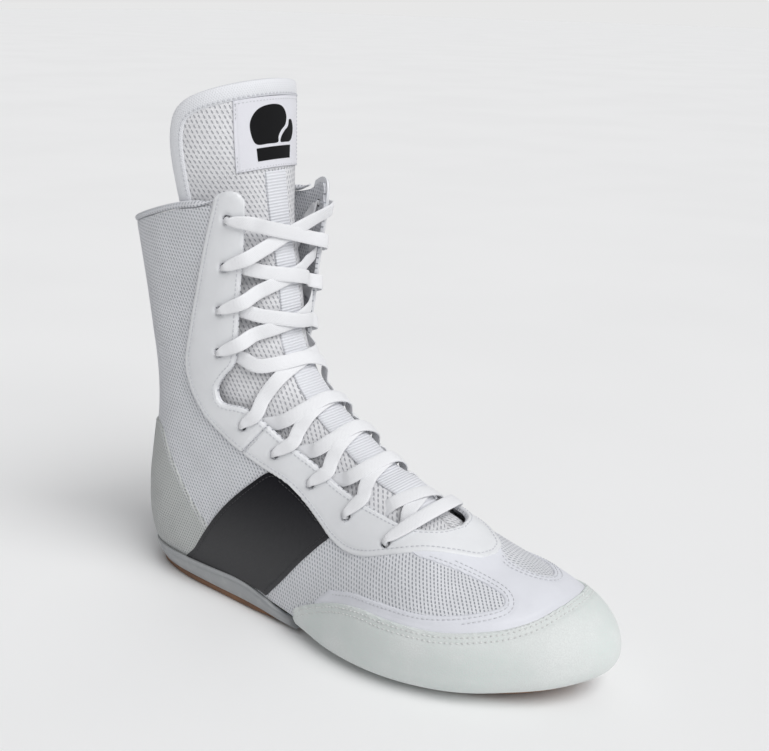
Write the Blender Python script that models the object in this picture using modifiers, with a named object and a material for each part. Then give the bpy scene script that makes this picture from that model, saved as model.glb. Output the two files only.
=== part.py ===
"""A laced right-foot boxing boot, built piece by piece as it would come apart on a bench.

Frame: +X towards the toe, +Y towards the inner side of the foot, +Z up. The origin is on the
ground under the middle of the boot. Shape tables are in millimetres, with x from the back of the
heel; place() turns them into the frame's metres.

The boot is drawn as a fan of closed sections. Section t runs from t = 0 above the collar, round
the ankle, to t = 21 at the toe tip. On a section, v = 0 is the front (or top) centre, v = -1 and
v = 1 meet at the back (or bottom) centre, and the outer side of the foot has v below 0. A panel is
the region of that surface inside an outline drawn in (t, v), lifted off it and given a thickness.
"""

import math

import bmesh
import bpy
import numpy as np
from mathutils import Matrix, Vector

MM = 0.001
MIDDLE_X = 142.0

MESH_T = 1.5
OVERLAY_T = 1.0
SUEDE_T = 1.1
LINING_T = 1.0
STIFFENER_T = 0.8
TONGUE_T = 3.5
LAYER_GAP, OVERLAY_GAP = 0.45, 0.75
BINDING_DROP = 3.4
SEAM_GAP = 1.1
SEAM_SHARE = 0.003

EYELET_D = 5.0
LACE_W, LACE_T = 7.5, 1.3
LACE_HOLE_W, LACE_HOLE_T = 2.9, 2.1
LACE_CLEAR, LACE_HUMP = 3.9, 0.85
AGLET_L, AGLET_W = 18.0, 3.8

TOE_SPRING_X, TOE_SPRING = 205.0, 9.0
OUTSOLE_HEEL_T, OUTSOLE_FORE_T = 3.6, 1.2
CUP_END_X, CUP_GAP = 133.0, 1.5
FOLD_ROW, FOLD_GAP = 2.0, 0.02
FOLD_POINT = (82.5, 0.0, 230.0)

# front x, z; back x, z; outer y, inner y; ridge y; share of depth behind the widest point;
# roundness of the front half and of the back half (2 is an ellipse, more is squarer)
SECTIONS = np.array([
    [102, 237.5, -10.5, 211.5, -39, 43, 1, 0.45, 3.2, 2.1],
    [99.5, 212.5, -6, 188.5, -38, 42, 1, 0.45, 3.2, 2.1],
    [97, 187, -1.5, 164.5, -37, 40, 1, 0.45, 3, 2.1],
    [96.5, 165, 2, 141.5, -36, 38, 1, 0.44, 2.8, 2.1],
    [99, 146.5, 5, 117, -35, 36, 1, 0.42, 2.5, 2.1],
    [107.5, 131.5, 4.5, 93, -34.5, 36, 1, 0.38, 2.35, 2.1],
    [118, 121, 0, 68.5, -35, 37, 1, 0.35, 2.2, 2.1],
    [131, 111, -3.5, 45.5, -36, 37, 1, 0.32, 2.2, 2.1],
    [146.5, 102.5, -2.5, 22.5, -36, 36, 1, 0.29, 2.2, 2.2],
    [159.5, 95, 6, 7.5, -35, 34, 1, 0.27, 2.2, 2.4],
    [171.5, 87.5, 45, 5.8, -34.5, 33, 1, 0.22, 2.2, 4],
    [184, 81, 86, 6.4, -36.5, 33, 1, 0.22, 2.2, 4.5],
    [195, 75, 125, 5, -43, 37, 1, 0.23, 2.2, 4.5],
    [207, 68.5, 160, 2.6, -51, 42, 1, 0.24, 2.2, 5],
    [219.5, 62.5, 189, 2.2, -53.5, 46, 1, 0.26, 2.2, 5],
    [232.5, 56.5, 215, 2.5, -50.5, 47, 2, 0.28, 2.3, 4.5],
    [246.5, 53, 237, 3.9, -44, 45, 3, 0.31, 2.3, 4.2],
    [260.5, 49.5, 256, 6.5, -34, 39, 4, 0.34, 2.3, 3.6],
    [273, 45, 271, 9, -24, 32, 6, 0.38, 2.3, 3],
    [282, 39, 281.5, 12.5, -13, 25, 7.5, 0.42, 2.2, 2.6],
    [288, 33, 288, 17, -3, 17, 8, 0.46, 2.1, 2.3],
    [291.5, 27, 291, 23.5, 5.5, 10.5, 8.5, 0.5, 2, 2],
])

# The free top of the tongue, in the same columns. Below it the tongue follows the boot's sections,
# drawn in by a depth that shrinks where its end is stitched under the vamp.
TONGUE_TOP = np.array([
    [81.5, 278, 12, 257, -38, 39, 1, 0.5, 2.1, 2.0],
    [81.5, 254, 12, 233, -38, 39, 1, 0.5, 2.1, 2.0],
    [82.5, 230, 12.5, 209, -34, 37, 1, 0.5, 2.1, 2.0],
    [85.5, 206, 13, 183, -29, 32, 1, 0.5, 2.1, 2.0],
    [90, 182, 14, 158, -28, 31, 1, 0.48, 2.2, 2.0],
    [93, 161, 14.5, 137, -28, 31, 1, 0.46, 2.2, 2.0],
])
TONGUE_DEPTHS = [5.2, 5.2, 5.2, 5.2, 5.2, 5.2, 5.2, 5.2, 5.0, 4.0, 2.9]
TONGUE_JOINS_SECTION = 4
TONGUE_HALF = [(0, 0.5), (3, 0.49), (4, 0.46), (5, 0.44), (6, 0.42), (7, 0.43), (8, 0.37), (9, 0.3), (10, 0.27), (13, 0.22),
               (14, 0.19), (15, 0.15), (15.6, 0.12)]

# The ground outline of the sole: x, then y on the outer and on the inner side
SOLE_X = [2.5, 6, 16, 40, 70, 100, 120, 135, 165, 190, 215, 240, 262, 280, 287]
SOLE_OUTER = [1, 13, 23.5, 31, 34, 36.5, 38, 38, 44, 45.5, 42, 34.5, 25, 12, -3]
SOLE_INNER = [1, 13, 23.5, 30.5, 33, 33.5, 34, 33.5, 36, 41, 43, 40, 33, 22, 10]

# The cup of the midsole: lower x, outer y, inner y; upper x, outer y, inner y, height
CUP = [
    [3, 1.5, 1.5, -2.1, 1.5, 1.5, 15],
    [4, 8, 8, 0, 10, 10, 15],
    [8, 16.5, 16.5, 5, 18.5, 18.5, 15],
    [18, 25, 25, 16, 29, 28.5, 15.5],
    [35, 30.5, 30.5, 34, 35.6, 34.6, 15.8],
    [65, 34, 33.4, 65, 37.6, 36.2, 15.6],
    [90, 36, 34, 90, 38.8, 36.6, 17.4],
    [105, 38, 34.4, 105, 40.6, 37, 17],
    [120, 41, 36, 120, 43.4, 38.8, 14.8],
    [133, 43, 37, 133, 46, 40.4, 12.4],
]

# Panel outlines as (t, v) on the outer side; the inner side mirrors them
EYESTAY_OUTER = [(0.12, 0.315), (0.47, 0.33), (1.2, 0.37), (2.2, 0.42), (3.2, 0.475), (3.9, 0.515),
                 (4.6, 0.515), (5.4, 0.475), (6.4, 0.4), (7.5, 0.325), (8.5, 0.275), (9.3, 0.272),
                 (10.2, 0.305), (10.9, 0.34), (11.5, 0.345), (11.95, 0.315), (12.4, 0.25),
                 (13.0, 0.18), (13.8, 0.12), (14.4, 0.07), (14.6, 0.0)]
OPENING_EDGE = [(0.0, 0.216), (0.6, 0.218), (1.3, 0.222), (2.2, 0.235), (3.5, 0.257), (4.25, 0.285),
                (4.6, 0.345), (4.9, 0.385), (5.35, 0.375), (5.75, 0.29), (6.4, 0.24), (7.4, 0.197),
                (8.5, 0.167), (9.5, 0.165), (10.8, 0.162), (11.9, 0.148), (12.5, 0.105),
                (12.8, 0.06), (12.95, 0.0)]
EYELETS = [(0.86, 0.281), (1.83, 0.297), (2.82, 0.322), (3.9, 0.345), (6.3, 0.316), (7.5, 0.254),
           (8.95, 0.218), (10.5, 0.236), (12.0, 0.235)]
COLLAR_RIM = [(0.8, 0.0), (0.78, 0.2), (0.6, 0.213), (0.41, 0.23), (0.3, 0.252), (0.26, 0.28),
              (0.29, 0.31), (0.36, 0.338), (0.38, 0.37), (0.37, 0.42), (0.34, 0.5), (0.38, 0.62),
              (0.47, 0.8), (0.55, 1.0)]
BUMPER_LINE = [(11.9, 0.76), (12.0, 0.64), (12.4, 0.52), (12.95, 0.455), (13.7, 0.43), (14.4, 0.413),
               (15.1, 0.398), (15.9, 0.37), (16.7, 0.325), (17.3, 0.24), (17.6, 0.1), (17.65, 0.0)]
OUTER_WINDOW = [(12.6, 0.215), (13.1, 0.2), (14.0, 0.172), (15.0, 0.158), (15.8, 0.175), (16.15, 0.22),
                (15.95, 0.265), (15.3, 0.318), (14.4, 0.362), (13.4, 0.39), (12.6, 0.43),
                (12.0, 0.5), (11.6, 0.42), (11.9, 0.3)]
INNER_WINDOW = [(12.9, 0.2), (13.4, 0.14), (14.1, 0.085), (15.0, 0.02), (15.9, 0.025), (16.4, 0.075),
                (16.3, 0.14), (15.6, 0.225), (14.6, 0.29), (13.5, 0.345), (12.6, 0.41),
                (12.0, 0.49), (11.6, 0.42), (12.0, 0.3)]
HEEL_SEAM = [(5.3, 1.0), (5.3, 0.85), (5.55, 0.72), (6.2, 0.665), (7.2, 0.617), (8.2, 0.592),
             (9.0, 0.594), (9.6, 0.64), (10.3, 0.73)]
SADDLE_BAND = [(8.0, 0.29), (8.5, 0.27), (9.3, 0.265), (10.2, 0.295), (10.8, 0.33), (10.95, 0.40),
               (11.1, 0.50), (11.25, 0.60), (11.35, 0.70), (11.38, 0.79), (10.6, 0.81), (9.75, 0.81),
               (9.5, 0.71), (9.1, 0.6), (8.5, 0.47), (8.15, 0.37)]
VAMP_SEAM_T = 11.5
TOE_OVERLAY_T = 12.1
BUMPER_UNDER_T, BUMPER_UNDER = (12.0, 12.5), (0.79, 0.7)
BUMPER_WRAP_T = 19

ROWS = np.r_[np.arange(0, 6, 0.5), np.arange(6, 9, 1), np.arange(9, 16, 0.5), np.arange(16, 20.5, 1), 20.9]
FINE_ROWS = np.r_[np.arange(0, 16, 0.5), np.arange(16, 20.5, 1), 20.9]
SIDE_COLUMNS = [0, 0.05, 0.1, 0.14, 0.17, 0.2, 0.23, 0.26, 0.3, 0.34, 0.385, 0.43, 0.49, 0.56, 0.64,
                0.72, 0.79, 0.85, 0.9, 0.95, 1.0]
COARSE_COLUMNS = [0, 0.1, 0.2, 0.3, 0.4, 0.5, 0.6, 0.7, 0.79, 0.85, 0.9, 0.95, 1.0]
FINE_COLUMNS = list(np.arange(0, 15) * 0.038)
T_SCALE, V_SCALE = 13.0, 160.0
TIP_SHARE, TIP_BULGE = 0.5, -0.6
SHARP_ANGLE = math.radians(40)


def catmull(rows, at):
    """Rows of a table at fractional row numbers, on a smooth curve through them."""
    rows = np.asarray(rows, float)
    at = np.clip(np.asarray(at, float), 0, len(rows) - 1 - 1e-9)
    i = np.floor(at).astype(int)
    f = (at - i)[..., None]
    p = np.vstack([2 * rows[0] - rows[1], rows, 2 * rows[-1] - rows[-2]])
    p0, p1, p2, p3 = p[i], p[i + 1], p[i + 2], p[i + 3]
    return 0.5 * (2 * p1 + (p2 - p0) * f + (2 * p0 - 5 * p1 + 4 * p2 - p3) * f**2
                  + (3 * p1 - p0 - 3 * p2 + p3) * f**3)


class Surface:
    """A surface swept through a table of sections, addressed by section t and share v."""

    STEPS = 8
    SIDE = 96

    def __init__(self, table):
        self.table = table
        self.last = len(table) - 1
        stations = np.arange(self.last * self.STEPS + 1) / self.STEPS
        rings = [self.ring(t) for t in stations]
        self.points = np.array(rings)
        along = np.gradient(self.points, axis=0)
        around = np.gradient(self.points, axis=1)
        around[:, [0, -1]] = (self.points[:, [1]] - self.points[:, [-2]]) / 2
        normals = np.cross(along, around)
        self.normals = normals / np.maximum(np.linalg.norm(normals, axis=2, keepdims=True), 1e-9)

    def ring(self, t):
        """Points of one section, evenly spaced from the back round the outer side, the front and
        the inner side to the back again."""
        fx, fz, bx, bz, outer, inner, ridge, share, n_front, n_back = catmull(self.table, t)
        depth = math.hypot(fx - bx, fz - bz)
        ex, ez = (fx - bx) / depth, (fz - bz) / depth
        turn = np.linspace(0, math.pi, 241)
        c, s = np.cos(turn), np.sin(turn)
        n = np.where(c >= 0, n_front, n_back)
        reach = np.where(c >= 0, depth * (1 - share), depth * share)
        deep = np.sign(c) * np.abs(c) ** (2 / n) * reach + depth * share
        wide = np.abs(s) ** (2 / n)
        halves = []
        for width in (outer - ridge, inner - ridge):
            half = np.stack([bx + deep * ex, ridge + width * wide, bz + deep * ez], -1)
            arc = np.r_[0, np.cumsum(np.linalg.norm(np.diff(half, axis=0), axis=1))]
            share_of_arc = np.linspace(0, arc[-1], self.SIDE + 1)
            halves.append(np.stack([np.interp(share_of_arc, arc, half[:, k]) for k in range(3)], -1))
        return np.vstack([halves[0][::-1], halves[1][1:]])

    def at(self, t, v, lift=0.0):
        """Points lifted off the surface; v beyond 1 runs on round the back."""
        t, v = np.broadcast_arrays(np.asarray(t, float), np.asarray(v, float))
        v = (v + 1) % 2
        ti = np.clip(t * self.STEPS, 0, self.last * self.STEPS - 1e-6)
        vi = np.clip(v * self.SIDE, 0, 2 * self.SIDE - 1e-6)
        i, j = ti.astype(int), vi.astype(int)
        f, g = (ti - i)[..., None], (vi - j)[..., None]

        def mix(grid):
            low = grid[i, j] * (1 - g) + grid[i, j + 1] * g
            high = grid[i + 1, j] * (1 - g) + grid[i + 1, j + 1] * g
            return low * (1 - f) + high * f

        point, normal = mix(self.points), mix(self.normals)
        normal = normal / np.linalg.norm(normal, axis=-1, keepdims=True)
        return point + np.asarray(lift, float)[..., None] * normal, normal


def tongue_sections():
    """The free top, then the boot's own sections drawn in by the tongue's depth under the flaps."""
    rows = []
    for row, drawn_in in zip(SECTIONS[TONGUE_JOINS_SECTION:], TONGUE_DEPTHS):
        fx, fz, bx, bz = row[:4]
        depth = math.hypot(fx - bx, fz - bz)
        drawn = row.copy()
        drawn[0] -= (fx - bx) * drawn_in / depth
        drawn[1] -= (fz - bz) * drawn_in / depth
        drawn[4] += drawn_in
        drawn[5] -= drawn_in
        rows.append(drawn)
    return np.vstack([TONGUE_TOP, rows])


BOOT = Surface(SECTIONS)
TONGUE = Surface(tongue_sections())


def smooth_line(points, steps=6):
    count = (len(points) - 1) * steps + 1
    return catmull(points, np.linspace(0, len(points) - 1, count))


def closed_line(points, steps=6):
    p = np.array(points, float)
    ring = np.vstack([p[-1:], p, p[:2]])
    return catmull(ring, np.linspace(1, len(p) + 1, len(p) * steps + 1))[:-1]


def depth_inside(outline, t, v, scale=(T_SCALE, V_SCALE)):
    """Distance in about millimetres inside a closed outline, negative outside it."""
    scale = np.array(scale)
    q = np.stack(np.broadcast_arrays(t, v), -1)[..., None, :] * scale
    a = outline * scale
    b = np.roll(a, -1, axis=0)
    ab = b - a
    share = np.clip(((q - a) * ab).sum(-1) / np.maximum((ab * ab).sum(-1), 1e-9), 0, 1)
    near = np.linalg.norm(q - a - share[..., None] * ab, axis=-1).min(-1)
    y, x = q[..., 1], q[..., 0]
    crosses = (a[:, 1] > y) != (b[:, 1] > y)
    run = np.where(np.abs(ab[:, 1]) < 1e-9, 1e-9, ab[:, 1])
    hits = crosses & (x < a[:, 0] + (y - a[:, 1]) * ab[:, 0] / run)
    return np.where(hits.sum(-1) % 2 == 1, near, -near)


def place(points):
    """Table millimetres, x from the heel, to the frame's metres."""
    p = np.asarray(points, float).copy()
    p[..., 0] -= MIDDLE_X
    return p * MM


def material(name, colour, roughness, metallic=0.0):
    made = bpy.data.materials.new(name)
    made.use_nodes = True
    shader = made.node_tree.nodes["Principled BSDF"]
    shader.inputs["Base Color"].default_value = (*colour, 1)
    shader.inputs["Roughness"].default_value = roughness
    shader.inputs["Metallic"].default_value = metallic
    return made


def add_object(name, vertices, faces, look, collection):
    mesh = bpy.data.meshes.new(name)
    mesh.from_pydata([tuple(p) for p in vertices], [], faces)
    mesh.update()
    mesh.shade_smooth()
    mesh.set_sharp_from_angle(angle=SHARP_ANGLE)
    mesh.materials.append(look)
    made = bpy.data.objects.new(name, mesh)
    collection.objects.link(made)
    return made


def solidify(made, thickness):
    """Thicken an open sheet outwards."""
    shell = made.modifiers.new("thickness", "SOLIDIFY")
    shell.thickness = thickness * MM
    shell.offset = 1


def clipped_grid(points, keep, closed):
    """Faces of a grid of points where keep is positive, cut straight across the other cells. A closed
    grid's last column is its first one again. Corners only just inside or outside are moved clear."""
    keep = np.where((keep > 0) & (keep < 0.9), 0.0, keep)
    keep = np.where((keep < 0) & (keep > -0.2), -0.2, keep)
    vertices, index = [], {}
    columns = points.shape[1] - 1

    def corner(i, j):
        if (i, j) not in index:
            index[i, j] = len(vertices)
            vertices.append(points[i, j])
        return index[i, j]

    def crossing(p, q):
        key = (min(p, q), max(p, q))
        if key not in index:
            a, b = key
            share = keep[a] / (keep[a] - keep[b])
            index[key] = len(vertices)
            vertices.append(points[a] * (1 - share) + points[b] * share)
        return index[key]

    faces = []
    for i in range(points.shape[0] - 1):
        for j in range(columns):
            k = 0 if closed and j + 1 == columns else j + 1
            ring = [(i, j), (i + 1, j), (i + 1, k), (i, k)]
            if max(keep[p] for p in ring) <= 0:
                continue
            face = []
            for p, q in zip(ring, ring[1:] + ring[:1]):
                if keep[p] >= 0:
                    face.append(corner(*p))
                if keep[p] * keep[q] < 0:
                    face.append(crossing(p, q))
            if len(face) > 2:
                faces.append(face)
    if closed and keep[-1].min() > 0:
        faces.append([corner(len(points) - 1, j) for j in reversed(range(columns))])
    return vertices, faces


def both_sides(columns):
    return np.r_[-np.array(columns[:0:-1]), columns]


def panel(name, region, lift, thickness, look, collection, columns=None, rows=ROWS, surface=BOOT):
    """A sheet covering region(t, v, point) > 0 of a surface; its inner face is lifted off it. One
    that goes all the way round a section is closed over the toe tip."""
    columns = both_sides(SIDE_COLUMNS) if columns is None else columns
    t, v = np.meshgrid(rows, columns, indexing="ij")
    points, _ = surface.at(t, v, np.full(t.shape, float(lift)))
    keep = region(t, v, points)
    closed = columns[-1] - columns[0] > 1.999
    if closed:
        tip = points[-1].mean(axis=0)
        small = tip + (points[-1] - tip) * TIP_SHARE + [TIP_BULGE + lift, 0, 0]
        points = np.concatenate([points, small[None]])
        keep = np.vstack([keep, keep[-1]])
    vertices, faces = clipped_grid(points, keep, closed)
    made = add_object(name, place(vertices), faces, look, collection)
    solidify(made, thickness)
    return made


def collar_drop(t, v):
    """How far a point is below the collar's rim."""
    rim = smooth_line(COLLAR_RIM)
    wrapped = np.abs((v + 1) % 2 - 1)
    return (t - np.interp(wrapped, rim[:, 1], rim[:, 0])) * 24


def opening_cover(t, v):
    """Depth inside the lacing gap between the flaps."""
    edge = smooth_line(OPENING_EDGE)
    outline = np.vstack([[(-2, 0.0), (-2, edge[0, 1])], edge])
    outline = np.vstack([outline, outline[::-1] * [1, -1]])
    return depth_inside(outline, t, v)


def eyestay_cover(t, v):
    """Depth inside the eyestays' outer line, the lacing gap included."""
    edge = smooth_line(EYESTAY_OUTER)
    outline = np.vstack([[(-2, 0.0), (-2, edge[0, 1])], edge])
    outline = np.vstack([outline, outline[::-1] * [1, -1]])
    return depth_inside(outline, t, v)


def seam_side(t, v):
    """Positive towards the toe of the seam between the upper and the lower eyestay."""
    return (t - 6.6 - (np.abs(v) - 0.25) * 5.0) * T_SCALE


def bumper_cover(t, v):
    """Depth inside the toe bumper, below its stitched top line."""
    outline = np.vstack([smooth_line(BUMPER_LINE), [(17.65, -0.5), (23, -0.5), (23, 1.4), (11.9, 1.4)]])
    return depth_inside(outline, t, np.abs((v + 1) % 2 - 1))


def heel_cover(t, v):
    """Depth inside the heel panel's seam."""
    outline = np.vstack([smooth_line(HEEL_SEAM), [(10.3, 1.4), (5.3, 1.4)]])
    return depth_inside(outline, t, np.abs((v + 1) % 2 - 1))


def band_cover(t, v):
    return depth_inside(closed_line(SADDLE_BAND), t, np.abs(v))


def window_cover(t, v):
    """Depth inside either mesh window of the toe."""
    outer = closed_line(OUTER_WINDOW) * [1, -1]
    inner = closed_line(INNER_WINDOW)
    return np.maximum(depth_inside(outer, t, v), depth_inside(inner, t, v))


def outsole_low(x):
    """Height of the outsole's underside."""
    return TOE_SPRING * np.clip((np.asarray(x, float) - TOE_SPRING_X) / 80, 0, None) ** 2


def outsole_high(x):
    """Height of the outsole's upper face."""
    fade = np.clip((np.asarray(x, float) - 100) / 45, 0, 1)
    return outsole_low(x) + OUTSOLE_HEEL_T + (OUTSOLE_FORE_T - OUTSOLE_HEEL_T) * fade


def upper_floor(x):
    """Height of the underside of the lasted upper."""
    back = SECTIONS[9:, 2:4]
    return np.interp(x, back[:, 0], back[:, 1])


def cup_rim(x):
    """Height of the midsole cup's upper edge."""
    cup = np.array(CUP)
    return np.interp(x, cup[:, 3], cup[:, 6])


def above_cup(points):
    """How far a point is clear of the midsole cup, upwards or in front of it."""
    x = points[..., 0]
    return np.maximum(points[..., 2] - cup_rim(x) - 0.7, x - CUP_END_X - 1.5)


def slab(name, xs, outer, inner, low, high, look, collection):
    """A plate with a curved outline, an underside low(x) and an upper face high(x)."""
    rings = []
    for x, a, b in zip(xs, outer, inner):
        floor, top = float(low(x)), float(high(x))
        rings.append([(x, -a, floor), (x, b, floor), (x, b, top), (x, -a, top)])
    return loft(name, rings, look, collection)


def loft(name, rings, look, collection):
    """A closed body through rings of equally many points, capped at both ends."""
    count = len(rings[0])
    vertices = [p for ring in rings for p in ring]
    faces = [list(range(count)), [(len(rings) - 1) * count + k for k in range(count)][::-1]]
    for i in range(len(rings) - 1):
        for k in range(count):
            m = (k + 1) % count
            faces.append([i * count + k, (i + 1) * count + k, (i + 1) * count + m, i * count + m])
    made = add_object(name, place(vertices), faces, look, collection)
    work = bmesh.new()
    work.from_mesh(made.data)
    bmesh.ops.recalc_face_normals(work, faces=work.faces)
    work.to_mesh(made.data)
    work.free()
    return made


def sole_outline(x, grow):
    """Half-widths of the sole at x, outer and inner, smooth between the drawn points."""
    line = smooth_line(np.stack([SOLE_X, SOLE_OUTER, SOLE_INNER], -1), 8)
    outer = np.interp(x, line[:, 0], line[:, 1]) + grow
    inner = np.interp(x, line[:, 0], line[:, 2]) + grow
    return outer, inner


def add_sole(looks, model, cutters):
    xs = np.array([3, 4.5, 8, 13, 20, 30, 45, 65, 85, 105, 120, 135, 150, 165, 178, 190, 203, 215, 227,
                   240, 251, 262, 271, 279, 285])
    outer, inner = sole_outline(xs, 0)
    slab("outsole", xs, outer, inner, outsole_low, outsole_high, looks["gum"], model)

    rings = []
    for lx, lo, li, hx, ho, hi, top in smooth_line(CUP, 3):
        bottom = float(outsole_high(lx)) + 0.4
        rings.append([(lx, -lo, bottom), (lx, li, bottom), (hx, hi, top), (hx, -ho, top)])
    cup = loft("midsole_cup", rings, looks["foam"], model)
    v = both_sides(SIDE_COLUMNS)[:-1]
    last = [BOOT.at(np.full(len(v), t), v, np.full(len(v), CUP_GAP))[0] for t in ROWS[(ROWS > 6.9) & (ROWS < 14.1)]]
    cutter = loft("last_cutter", last, looks["foam"], cutters)
    hide_cutter(cutter)
    cut(cup, cutter)

    xs = xs[(xs > 18) & (xs < 235)]
    outer, inner = sole_outline(xs, -9)
    under = MESH_T + 2
    slab("insole_board", xs, outer, inner, lambda x: upper_floor(x) + under,
         lambda x: upper_floor(x) + under + 1.6, looks["board"], model)
    slab("sockliner", xs, outer, inner, lambda x: upper_floor(x) + under + 2,
         lambda x: upper_floor(x) + under + 5, looks["sockliner"], model)


def hide_cutter(cutter):
    cutter.hide_render = True
    cutter.display_type = "WIRE"


def cut(piece, cutter):
    made = piece.modifiers.new(cutter.name, "BOOLEAN")
    made.operation = "DIFFERENCE"
    made.object = cutter


def side(v, flip):
    """Positive on one side of the boot: the outer one when flip is set."""
    return (-v if flip else v) * V_SCALE


def add_mesh_upper(looks, model):
    columns = both_sides(SIDE_COLUMNS[:-1] + [1 - SEAM_SHARE])
    pieces = {}
    for name, flip in (("quarter_outer", True), ("quarter_inner", False)):
        half = columns[columns <= 0] if flip else columns[columns >= 0]

        def region(t, v, points):
            seam = (VAMP_SEAM_T - t) * T_SCALE
            rim = collar_drop(t, v) - BINDING_DROP
            return np.minimum.reduce([rim, -opening_cover(t, v), seam, side(v, flip)])

        pieces[name] = panel(name, region, -MESH_T, MESH_T, looks["mesh"], model, columns=half)

    def vamp(t, v, points):
        return np.minimum((t - VAMP_SEAM_T) * T_SCALE - SEAM_GAP, -opening_cover(t, v))

    pieces["vamp"] = panel("vamp", vamp, -MESH_T, MESH_T, looks["mesh"], model, columns=both_sides(COARSE_COLUMNS))
    return pieces


def add_stiffeners(looks, model):
    columns = np.r_[np.array(SIDE_COLUMNS)[11:], 2 - np.array(SIDE_COLUMNS)[11:-1][::-1]]

    def counter(t, v, points):
        wrapped = 1 - np.abs(v - 1)
        high = np.minimum((t - 6.2) * T_SCALE, (wrapped - 0.66) * V_SCALE)
        low = np.minimum((9.5 - t) * T_SCALE, points[..., 2] - upper_floor(points[..., 0]) - 10)
        return np.minimum(high, low)

    lift = -MESH_T - LAYER_GAP - STIFFENER_T
    panel("heel_counter", counter, lift, STIFFENER_T, looks["board"], model, columns=columns)

    def puff(t, v, points):
        return np.minimum((t - 16.6) * T_SCALE, points[..., 2] - upper_floor(points[..., 0]) - 8)

    panel("toe_puff", puff, lift, STIFFENER_T, looks["board"], model, columns=both_sides(COARSE_COLUMNS))

    def lining(t, v, points):
        wrapped = 1 - np.abs(v - 1)
        return np.minimum.reduce([collar_drop(t, v) - BINDING_DROP, (7.5 - t) * T_SCALE, (wrapped - 0.43) * V_SCALE])

    panel("shaft_lining", lining, lift - LAYER_GAP - LINING_T, LINING_T, looks["lining"], model,
          columns=columns)


def add_overlays(looks, model):
    pieces = {}
    for name, flip in (("eyestay_upper_outer", True), ("eyestay_upper_inner", False)):
        columns = np.array(FINE_COLUMNS) * (-1 if flip else 1)

        def upper(t, v, points):
            rim = collar_drop(t, v) - 0.5
            return np.minimum.reduce([eyestay_cover(t, v), -opening_cover(t, v) - 0.3, -seam_side(t, v), rim])

        pieces[name] = panel(name, upper, OVERLAY_GAP, OVERLAY_T, looks["synthetic"], model,
                             columns=np.sort(columns), rows=FINE_ROWS)

    def lower(t, v, points):
        seam = seam_side(t, v) - SEAM_GAP
        return np.minimum.reduce([eyestay_cover(t, v), -opening_cover(t, v) - 0.3, seam])

    pieces["eyestay_lower"] = panel("eyestay_lower", lower, OVERLAY_GAP, OVERLAY_T, looks["synthetic"], model,
                                    columns=both_sides(FINE_COLUMNS), rows=FINE_ROWS)

    def toe(t, v, points):
        sides = [-eyestay_cover(t, v) - SEAM_GAP, -bumper_cover(t, v) - SEAM_GAP, -window_cover(t, v)]
        return np.minimum.reduce(sides + [(t - TOE_OVERLAY_T) * T_SCALE])

    panel("toe_overlay", toe, OVERLAY_GAP, OVERLAY_T, looks["synthetic"], model,
          columns=both_sides(FINE_COLUMNS), rows=FINE_ROWS)

    def bumper(t, v, points):
        under = np.interp(t, BUMPER_UNDER_T, BUMPER_UNDER)
        wrapped = np.maximum((under - np.abs(v)) * V_SCALE, (t - BUMPER_WRAP_T) * T_SCALE)
        return np.minimum.reduce([bumper_cover(t, v), wrapped, points[..., 0] - CUP_END_X - 1.5])

    panel("toe_bumper", bumper, LAYER_GAP + 0.7, SUEDE_T, looks["suede"], model,
          columns=both_sides(COARSE_COLUMNS))

    def heel(t, v, points):
        return np.minimum(heel_cover(t, v), above_cup(points))

    columns = np.r_[np.array(SIDE_COLUMNS)[12:], 2 - np.array(SIDE_COLUMNS)[12:-1][::-1]]
    panel("heel_panel", heel, OVERLAY_GAP, OVERLAY_T, looks["mesh"], model, columns=columns)

    for name, flip in (("saddle_band_outer", True), ("saddle_band_inner", False)):
        columns = np.array(SIDE_COLUMNS[6:17]) * (-1 if flip else 1)

        def band(t, v, points):
            clear = np.minimum(-eyestay_cover(t, v) - SEAM_GAP, -heel_cover(t, v) - SEAM_GAP)
            return np.minimum.reduce([band_cover(t, v), clear, above_cup(points)])

        panel(name, band, OVERLAY_GAP, OVERLAY_T, looks["black"], model, columns=np.sort(columns))
    return pieces


def drill_eyelets(pieces, cutters):
    """Round holes through the mesh and the eyestay at every eyelet."""
    for flip in (True, False):
        name = "outer" if flip else "inner"
        for number, (t, v) in enumerate(EYELETS):
            point, normal = BOOT.at(t, -v if flip else v)
            bpy.ops.mesh.primitive_cylinder_add(vertices=6, radius=EYELET_D / 2 * MM, depth=10 * MM)
            cutter = bpy.context.object
            cutter.name = f"eyelet_{name}_{number + 1}"
            cutter.location = place(point)
            cutter.rotation_mode = "QUATERNION"
            cutter.rotation_quaternion = Vector(normal).to_track_quat("Z", "Y")
            for owner in list(cutter.users_collection):
                owner.objects.unlink(cutter)
            cutters.objects.link(cutter)
            hide_cutter(cutter)
            cut(pieces["vamp" if t > VAMP_SEAM_T else f"quarter_{name}"], cutter)
            cut(pieces["eyestay_lower" if number > 4 else f"eyestay_upper_{name}"], cutter)


def ribbon(name, path, up, width, thickness, look, collection, sides=8):
    """A flat band with rounded edges along a path; up is its outward direction at each point."""
    path, up = np.asarray(path, float), np.asarray(up, float)
    ahead = np.gradient(path, axis=0)
    ahead /= np.linalg.norm(ahead, axis=1, keepdims=True)
    across = np.cross(ahead, up)
    across /= np.linalg.norm(across, axis=1, keepdims=True)
    over = np.cross(across, ahead)
    turn = (np.arange(sides) + 0.5) / sides * 2 * math.pi
    square = np.abs(np.stack([np.cos(turn), np.sin(turn)])) ** 0.6 * np.sign([np.cos(turn), np.sin(turn)])
    square /= np.abs(square).max(axis=1, keepdims=True)
    rings = []
    for k in range(len(path)):
        ring = path[k] + np.outer(square[0], across[k]) * width[k] / 2
        rings.append([tuple(p) for p in ring + np.outer(square[1], over[k]) * thickness[k] / 2])
    return loft(name, rings, look, collection)


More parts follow.
